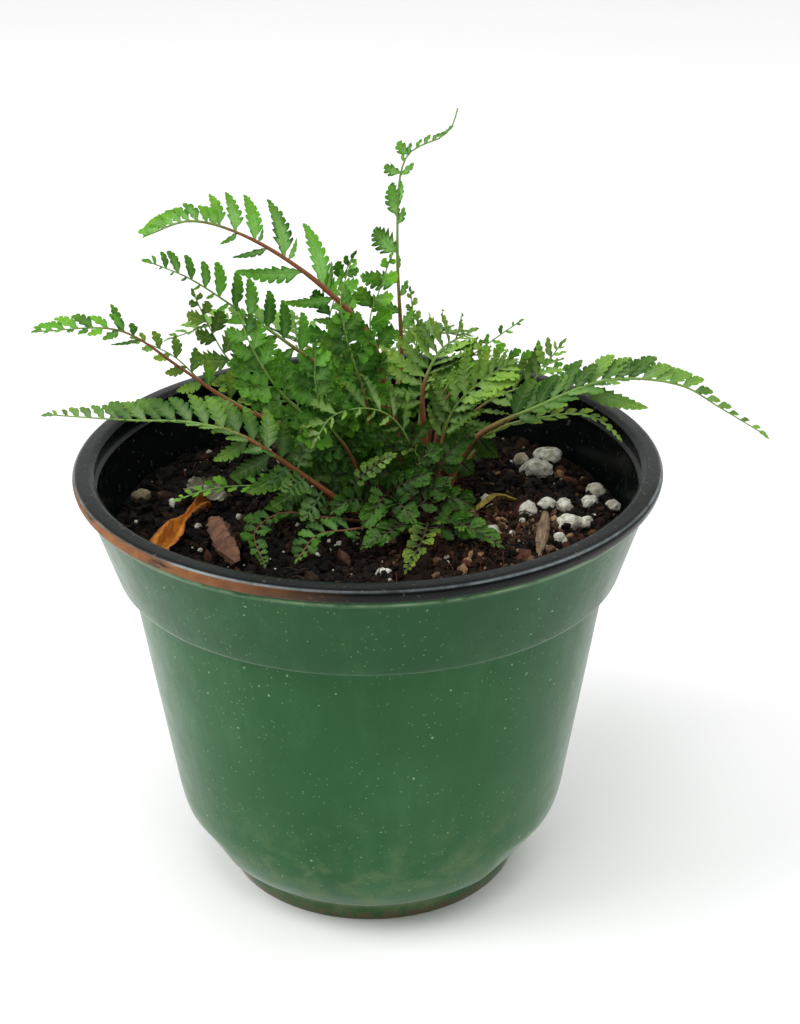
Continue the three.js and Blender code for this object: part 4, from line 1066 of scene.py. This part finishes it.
        "first": (-1, 0, 0.3), "turn": -15, "tone": (0.98, 0.2, 0.25), "split": 1, "every": 3.8, "plump": 1.3,
        "skirt": (3, 12, 25), "above": [(0.86, 4, 55, 10, 0.5), (0.93, 3.2, 50, 10, 0.5)],
        "below": [(0.83, 4.5, 50, 10, 0.5), (0.97, 3, 40, 10, 0.5)], "habit": {"depth": 0.6}},
    "centre_right": {**tuft, "points": [[19, 3, 110], [21, 4, 130], [25, 3, 141], [32, 3, 148], [39, 5, 152]],
        "finish": "leaf_pale", "bare": 0.4, "pairs": 10, "leaflet": 17, "wide": 0.29,
        "facing": (0, -0.9, 0.6), "lean": 50, "turn": -28, "tone": (1, 0.3, 0.65), "every": 3.3,
        "skirt": (2, 11, -35)},
    "back_fan": {"points": [[9, 33, 109], [8, 46, 126], [14, 58, 136], [22, 68, 138], [30, 76, 134]],
        "finish": "leaf_grey_green", "stalk": 0.9, "bare": 0.25, "pairs": 12, "leaflet": 15,
        "facing": (0, 0.2, 1), "first": (-1, 0, 0), "tone": (0.9, 0.2, 0.3), "split": 1},
}

# Small leaves low over the crown: stalk, length of the leaflets, their pairs, tone and, if not green, finish
lowLeaves = [
    ([[3, -3, 111], [6, -7, 119], [11, -9, 123], [16, -8, 124.5]], 6.6, 7, (0.6, 0.1, 0.6)),
    ([[-6, -5, 112], [-3, -8, 123], [2, -8, 127.5], [6.5, -6, 129.5]], 4.2, 8, (1.0, 0.1, 0.7), "leaf_pale"),
    ([[6, -4, 111], [5, -10, 119.5], [2.5, -15, 118.5], [-1, -18, 114.5]], 6.2, 7, (0.66, 0.2, 0.4)),
    ([[8, -8, 111], [13, -12, 116], [18, -10, 119.5], [22, -8, 122.5]], 5.6, 5, (0.56, 0.1, 0.5)),
    ([[12, -15, 111], [19, -21, 114.5], [25, -21, 115], [31, -20, 113.8]], 6.6, 5, (0.66, 0.3, 0.3)),
    ([[12, 1, 112], [9, 3, 124], [6, 3, 129], [1, 3, 131.5]], 7.4, 7, (0.5, 0.0, 0.9)),
    ([[18, 0, 111], [20, 2, 122], [25, 4, 128], [29, 6, 131]], 7.0, 7, (0.55, 0.1, 0.6)),
    ([[4, 0, 112], [1, 0, 120], [-4, -1, 123], [-10, -2, 121]], 6.4, 6, (0.6, 0.1, 0.5)),
    ([[9, -2, 112], [8, -4, 120], [5, -6, 125], [1, -7, 127]], 6.4, 6, (0.5, 0.05, 0.6)),
    ([[16, -2, 112], [15, -6, 118], [17, -9, 121], [21, -11, 120]], 5.6, 6, (0.55, 0.1, 0.5)),
    ([[14, 1, 112], [13, -1, 121], [15, -2, 127], [19, -2, 129]], 7.2, 6, (0.46, 0.0, 0.9)),
    ([[10, -6, 111], [8, -11, 117], [9, -16, 119], [12, -20, 117]], 6.6, 6, (0.5, 0.1, 0.6)),
    ([[2, -4, 111], [-1, -9, 117], [-5, -12, 119], [-9, -14, 117]], 6.4, 6, (0.5, 0.1, 0.7)),
    ([[18, -6, 111], [20, -10, 117], [24, -12, 119], [28, -12, 117]], 6.2, 6, (0.5, 0.2, 0.4)),
]
lowUsual = {"wine": 0.4, "lean": 58, "wide": 0.62, "facing": (0, -0.8, 0.6), "red": 1.9, "redTo": 1.6,
            "habit": {"depth": 0.5, "broad": 0.4, "ruffle": 0.2}, "lobeEvery": 1.5, "stalk": 0.45,
            "bare": 0.42}

for number, (name, look) in enumerate(fronds.items()):
    addFrond("frond_" + name, {**usual, **look}, ["frond_" + name], 100 + number)
for number, (points, leaflet, pairs, tone, *finish) in enumerate(lowLeaves):
    look = {**usual, **lowUsual, "points": points, "leaflet": leaflet, "pairs": pairs, "tone": tone}
    look["finish"] = finish[0] if finish else "leaf_green"
    addFrond("low_%02d" % (number + 1), look, [], 100 + len(fronds) + number)
print("fronds ready:", len(fronds) + len(lowLeaves))


# The crown: a knobbly rhizome top with the stubs of old stalks and a coat of brown scales
crown = {"centre": (9, 9, 107), "radii": (17, 24, 6.2), "scales": 230, "stubs": 26, "scaleHabit": {
    "depth": 0.1, "broad": 1.0, "fold": 0.3, "curl": 0.25, "sickle": 0.0, "ruffle": 0.1}}


def barkMaterial(name, dark, light, grain):
    # fibrous brown, streaked along the piece's own length
    m = Tree(name)
    streak = m.noise(grain, 4, 0.65, m.stretched((1.5, 22, 1), m.uv))
    colour = m.mix(m.span(streak, 0.35, 0.68), dark, light)
    colour = m.mix(m.patches(420, 4, 0.5, 0.72, (0, 0.7)), colour, rgb(44, 32, 24))
    normal = m.bump(m.noise(900, 4, 0.7), 0.5, 0.0004, m.bump(streak, 0.8, 0.0005))
    return m.finish(m.face(colour, 0.85, normal, 0.25))


rootBark = barkMaterial("rhizome", rgb(13, 10, 7), rgb(44, 31, 21), 5)
paleWood = barkMaterial("wood_slip", rgb(78, 62, 46), rgb(152, 130, 102), 3)
redBark = barkMaterial("bark_chip", rgb(40, 26, 17), rgb(98, 66, 44), 4)


def addCrown(look):
    # a globe, stretched to the radii, its surface swollen by noise of about 5 and 2 mm
    random = np.random.default_rng(5)
    radii, centre = np.array(look["radii"]), look["centre"]
    ball, faces = globe(42, 84)
    seat = ball * radii
    points = seat * (0.78 + 0.42 * lumps(seat / 5.5 + 9, 3, 71))[:, None] + centre
    parts = [part(points, faces, uv=points[:, :2] / 20)]
    n = look["scales"]
    turn, out = 2 * np.pi * random.random(n), np.sqrt(random.random(n)) * 0.97
    spot = np.stack([np.cos(turn) * out, np.sin(turn) * out, np.sqrt(1 - out ** 2)], 1)
    normal = unit(spot / radii)
    heading = unit(np.cross(normal, random.normal(size=(n, 3))))
    heading = unit(heading + normal * (0.2 + 0.7 * random.random((n, 1))))
    across = unit(np.cross(normal, heading))
    size = 1.8 + 2.4 * random.random(n)
    points, faces, uv, *_ = bladeRows(spot * radii + centre, heading, across, np.cross(heading, across), size,
                                      size * 0.3, 1, {**leafHabit, **look["scaleHabit"]}, random)
    parts.append(part(points, faces, 1, uv * [0.3, 1]))
    for _ in range(look["stubs"]):
        # the foot of an old stalk, cut or rotted off a few millimetres up
        a, r = 2 * np.pi * random.random(), math.sqrt(random.random()) * 0.85
        x, y = math.cos(a) * r, math.sin(a) * r
        lean = unit(np.array([x * 0.9, y * 0.9, 1.0]) + random.normal(size=3) * 0.15)
        tall = 5 + 5.5 * random.random()
        line = np.array([x, y, 0.35]) * radii + centre + lean * np.linspace(0, tall, 7)[:, None]
        line = line + random.normal(size=(7, 3)) * 0.1
        points, faces = tube(line, (0.85 + 0.5 * random.random()) * np.linspace(1.1, 0.75, 7), (0, 1, 0.1))
        parts.append(part(points, faces, 1, uv=np.stack([points[:, 2] / 9, points[:, 0] / 6], 1)))
    makePiece("crown_of_roots", parts, [rootBark, redBark], ["fern_crown"], sharp=50)


# The young frond, still coiled: a stalk that turns in on itself, set with tiny folded leaflets
crosier = {
    "foot": [(-5, 15.5, 108.5), (-9, 16, 118), (-11.4, 17, 127)], "coil": (-8.5, 17, 131), "turns": 1.35,
    "outer": 2.9, "inner": 1.1, "stalk": (0.75, 0.42), "facing": (0, 1, 0.05), "leaflets": 46,
    "from": 0.42, "to": 0.99, "long": (2.5, 1.3), "tone": (0.95, 0.15, 0.75),
    "habit": {"depth": 0.5, "broad": 0.8, "curl": 0.3, "droop": 0},
}


def addCrosier(look):
    # the coil's radius shrinks with the share of its turns; leaflets stand outwards and to both sides
    random = np.random.default_rng(17)
    s = np.linspace(0, 1, 11)
    angle = np.pi - look["turns"] * 2 * np.pi * s
    radius = look["outer"] + (look["inner"] - look["outer"]) * s ** 0.8
    coil = look["coil"] + np.stack([radius * np.cos(angle), 0.6 * s, radius * np.sin(angle)], 1)
    line = smoothPath([*look["foot"], *coil], 70)
    along = pathFrames(line, look["facing"])[0]
    share = np.linspace(0, 1, len(line))
    points, faces = tube(line, np.interp(share, [0, 1], look["stalk"]), look["facing"], 9)
    red = 0.85 * (1 - smoothStep(share, 0.25, 0.6))
    parts = [part(points, faces, 1, leaf=np.stack([red, share, 0 * share], 1).repeat(9, 0))]
    n = look["leaflets"]
    at = np.linspace(look["from"], look["to"], n)
    base, a = sampled(at, share, line), unit(sampled(at, share, along))
    sideways = np.array([0, 0.7, 0]) * (-1.0) ** np.arange(n)[:, None]
    d = unit(unit(base - look["coil"]) * 0.55 + sideways + a * 0.6 + random.normal(size=(n, 3)) * 0.12)
    across = unit(a - d * np.einsum("ni,ni->n", a, d)[:, None])
    size = np.interp(at, at[[0, -1]], look["long"]) * (0.8 + 0.4 * random.random(n))
    points, faces, uv, t, block = bladeRows(base, d, across, np.cross(d, across), size, size * 0.6, 3,
                                            {**leafHabit, **look["habit"]}, random)
    leaf = np.stack([np.repeat(random.random(n), block), np.full(n * block, 0.6), t], 1)
    tone = np.tile(look["tone"], (n * block, 1))
    parts.append(part(points, faces, 0, uv, leaf=leaf, tone=tone, wine=0 * t))
    skins = [leafMaterials["leaf_pale"], stalkSkin]
    makePiece("crosier", parts, skins, ["young_crosier"], sharp=75)


# Withered leaves on the soil: curled and crumpled strips
def witheredMaterial(name, main, edgeTint, spot):
    # dry leaf: blotched, darker towards the rim, with raised veins
    m = Tree(name)
    u, v = m.parts(m.uv)[:2]
    off = m.apart(m.times(v, 2.0), 1.0)
    blotch = m.noise(260, 5, 0.65)
    colour = m.mix(m.span(blotch, 0.35, 0.65), main, edgeTint)
    colour = m.mix(m.span(m.plus(off, m.times(blotch, 0.4)), 0.85, 1.25, (0, 0.7)), colour, spot)
    ribs = m.apart(m.maths("FRACT", m.plus(m.times(u, 9.0), off)), 0.5)
    colour = m.mix(m.span(ribs, 0.12, 0.0, (0, 0.5)), colour, spot)
    return m.thin(0.2, colour, colour, 0.7, m.bump(m.plus(ribs, m.noise(900, 4)), 0.6, 0.0004), 0.3)


withered = {
    "withered_leaf_orange": {
        "points": [[-46, 4, 110.5], [-47, -3, 114.5], [-50, -10, 114], [-54, -17, 112.6], [-57, -24, 111.8],
                   [-59, -31, 110]],
        "widths": [2.4, 4.4, 3.0, 2.2, 5.4, 6.6, 6.2, 4.6], "turns": [70, 40, -10, 20, 35, 30], "pleat": 0.5,
        "fray": 0.5, "paint": (rgb(206, 132, 36), rgb(168, 98, 34), rgb(108, 50, 26))},
    "withered_leaf_papery": {
        "points": [[-52, 13, 111], [-49, 10.5, 113.4], [-45, 8, 113.4], [-41, 6, 111.5]],
        "widths": [2.4, 4.6, 3.6, 5.4, 4.6, 2.2], "turns": [-20, -50, -10, 20], "pleat": 0.8,
        "fray": 0.7, "paint": (rgb(176, 174, 152), rgb(128, 126, 98), rgb(84, 76, 52))},
    "withered_leaf_brown": {
        "points": [[-44, -11, 112.5], [-41, -20, 114], [-38, -27, 112.5], [-36, -33, 110]],
        "widths": [1.6, 4.2, 5.6, 7.0, 6.0, 2.6], "turns": [10, 45, 10, 40], "pleat": 0.85,
        "fray": 0.6, "paint": (rgb(122, 86, 64), rgb(92, 62, 46), rgb(52, 34, 26))},
    "withered_leaf_yellow": {
        "points": [[30, -2, 110.8], [36, 2, 113], [42, 3, 111.2]],
        "widths": [1.2, 3.2, 4.2, 3.2, 1.4], "turns": [10, 30, 5], "pleat": 0.35,
        "fray": 0.3, "paint": (rgb(150, 134, 48), rgb(104, 88, 36), rgb(70, 44, 26))},
}


def addWithered(name, look, seed):
    # a strip carried along a curve, turned about it, with three pleats across, ridged creases of about 2 mm
    # and a frayed rim; its two faces lie 0.3 mm apart in the middle and meet at the rim
    steps, columns = 46, 17
    s, v = np.linspace(0, 1, steps)[:, None], np.linspace(-1, 1, columns)[None, :]

    def given(key):
        return np.interp(s, np.linspace(0, 1, len(look[key])), look[key])

    line = smoothPath(look["points"], steps)
    along, up, side = pathFrames(line)
    side, up = (way[:, None, :] for way in rolled(side, up, np.radians(given("turns"))))
    rim = np.stack(np.broadcast_arrays(s * 16, 3 * np.sign(v), seed), -1)
    half = 0.5 * given("widths") * (1 - look["fray"] / 2 + look["fray"] * lumps(rim, 3, seed))
    flat = line[:, None, :] + side * (half * v)[..., None]
    folds = look["pleat"] * half * np.sin(v * 4.2 + 3 * s + seed)
    creases = (1 - np.abs(2 * lumps(flat / 1.9 + seed, 2, seed) - 1) * 2) * look["pleat"]
    sheet = flat + up * (folds + creases * (0.5 + 0.5 * np.abs(v)))[..., None]
    gap = (0.16 * (1 - v ** 2) + 0 * s)[..., None] * up
    rings = np.concatenate([sheet + gap, (sheet - gap)[:, -2:0:-1]], 1)
    rings[..., 2] = np.maximum(rings[..., 2], soilTop(rings[..., 0], rings[..., 1]) + 0.15)
    edge = np.r_[v[0], v[0][-2:0:-1]]
    uv = np.stack(np.broadcast_arrays(s, 0.5 + 0.5 * edge[None, :]), -1).reshape(-1, 2)
    skin = witheredMaterial(name + "_skin", *look["paint"])
    parts = [part(rings.reshape(-1, 3), cappedFaces(steps, len(edge), 1), uv=uv)]
    makePiece(name + "_curled", parts, [skin], [name], sharp=60)


# Slips of wood and bark: ends, width and thickness
slips = {
    "wood_sliver": {
        "ends": ((50, -3, 110), (46, -30, 109.4)), "width": 3.6, "thick": 1.8, "paint": paleWood},
    "bark_chip_right": {
        "ends": ((27, -2, 109.6), (31, -9, 109.2)), "width": 4, "thick": 2, "paint": redBark},
    "bark_chip_left": {
        "ends": ((-33, 19, 109.4), (-25, 24, 109.8)), "width": 4, "thick": 2, "paint": redBark},
}


def addSlip(name, look, seed):
    # a squarish ring carried from end to end, split and splintered by noise that is stretched along it
    def square(w):
        return np.sign(w) * np.abs(w) ** 0.55

    start, end = (np.array(point, float) for point in look["ends"])
    steps, sides = 30, 20
    s, turn = np.linspace(0, 1, steps)[:, None], circle(sides)[None]
    line = start + (end - start) * s
    along, up, side = pathFrames(line)
    taper = np.interp(s, [0, 0.33, 0.66, 1], [0.45, 1, 0.9, 0.3])
    x = square(np.cos(turn)) * look["width"] / 2 * taper
    y = square(np.sin(turn)) * look["thick"] / 2 * (0.6 + 0.4 * taper)
    grain = np.stack(np.broadcast_arrays(s * 2.5, np.cos(turn) * 2.2 + seed, np.sin(turn) * 2.2), -1)
    rough = (0.72 + 0.5 * lumps(grain, 3, seed))[..., None]
    points = line[:, None] + (side[:, None] * x[..., None] + up[:, None] * y[..., None]) * rough
    uv = np.stack(np.broadcast_arrays(s, turn / (2 * np.pi)), -1).reshape(-1, 2)
    parts = [part(points.reshape(-1, 3), cappedFaces(steps, sides), uv=uv)]
    makePiece(name + "_grained", parts, [look["paint"]], [name], sharp=45)


addCrown(crown)
addCrosier(crosier)
for number, (name, look) in enumerate(withered.items()):
    addWithered(name, look, 60 + number)
for number, (name, look) in enumerate(slips.items()):
    addSlip(name, look, 80 + number)
print("crown, crosier, withered leaves and bark ready")
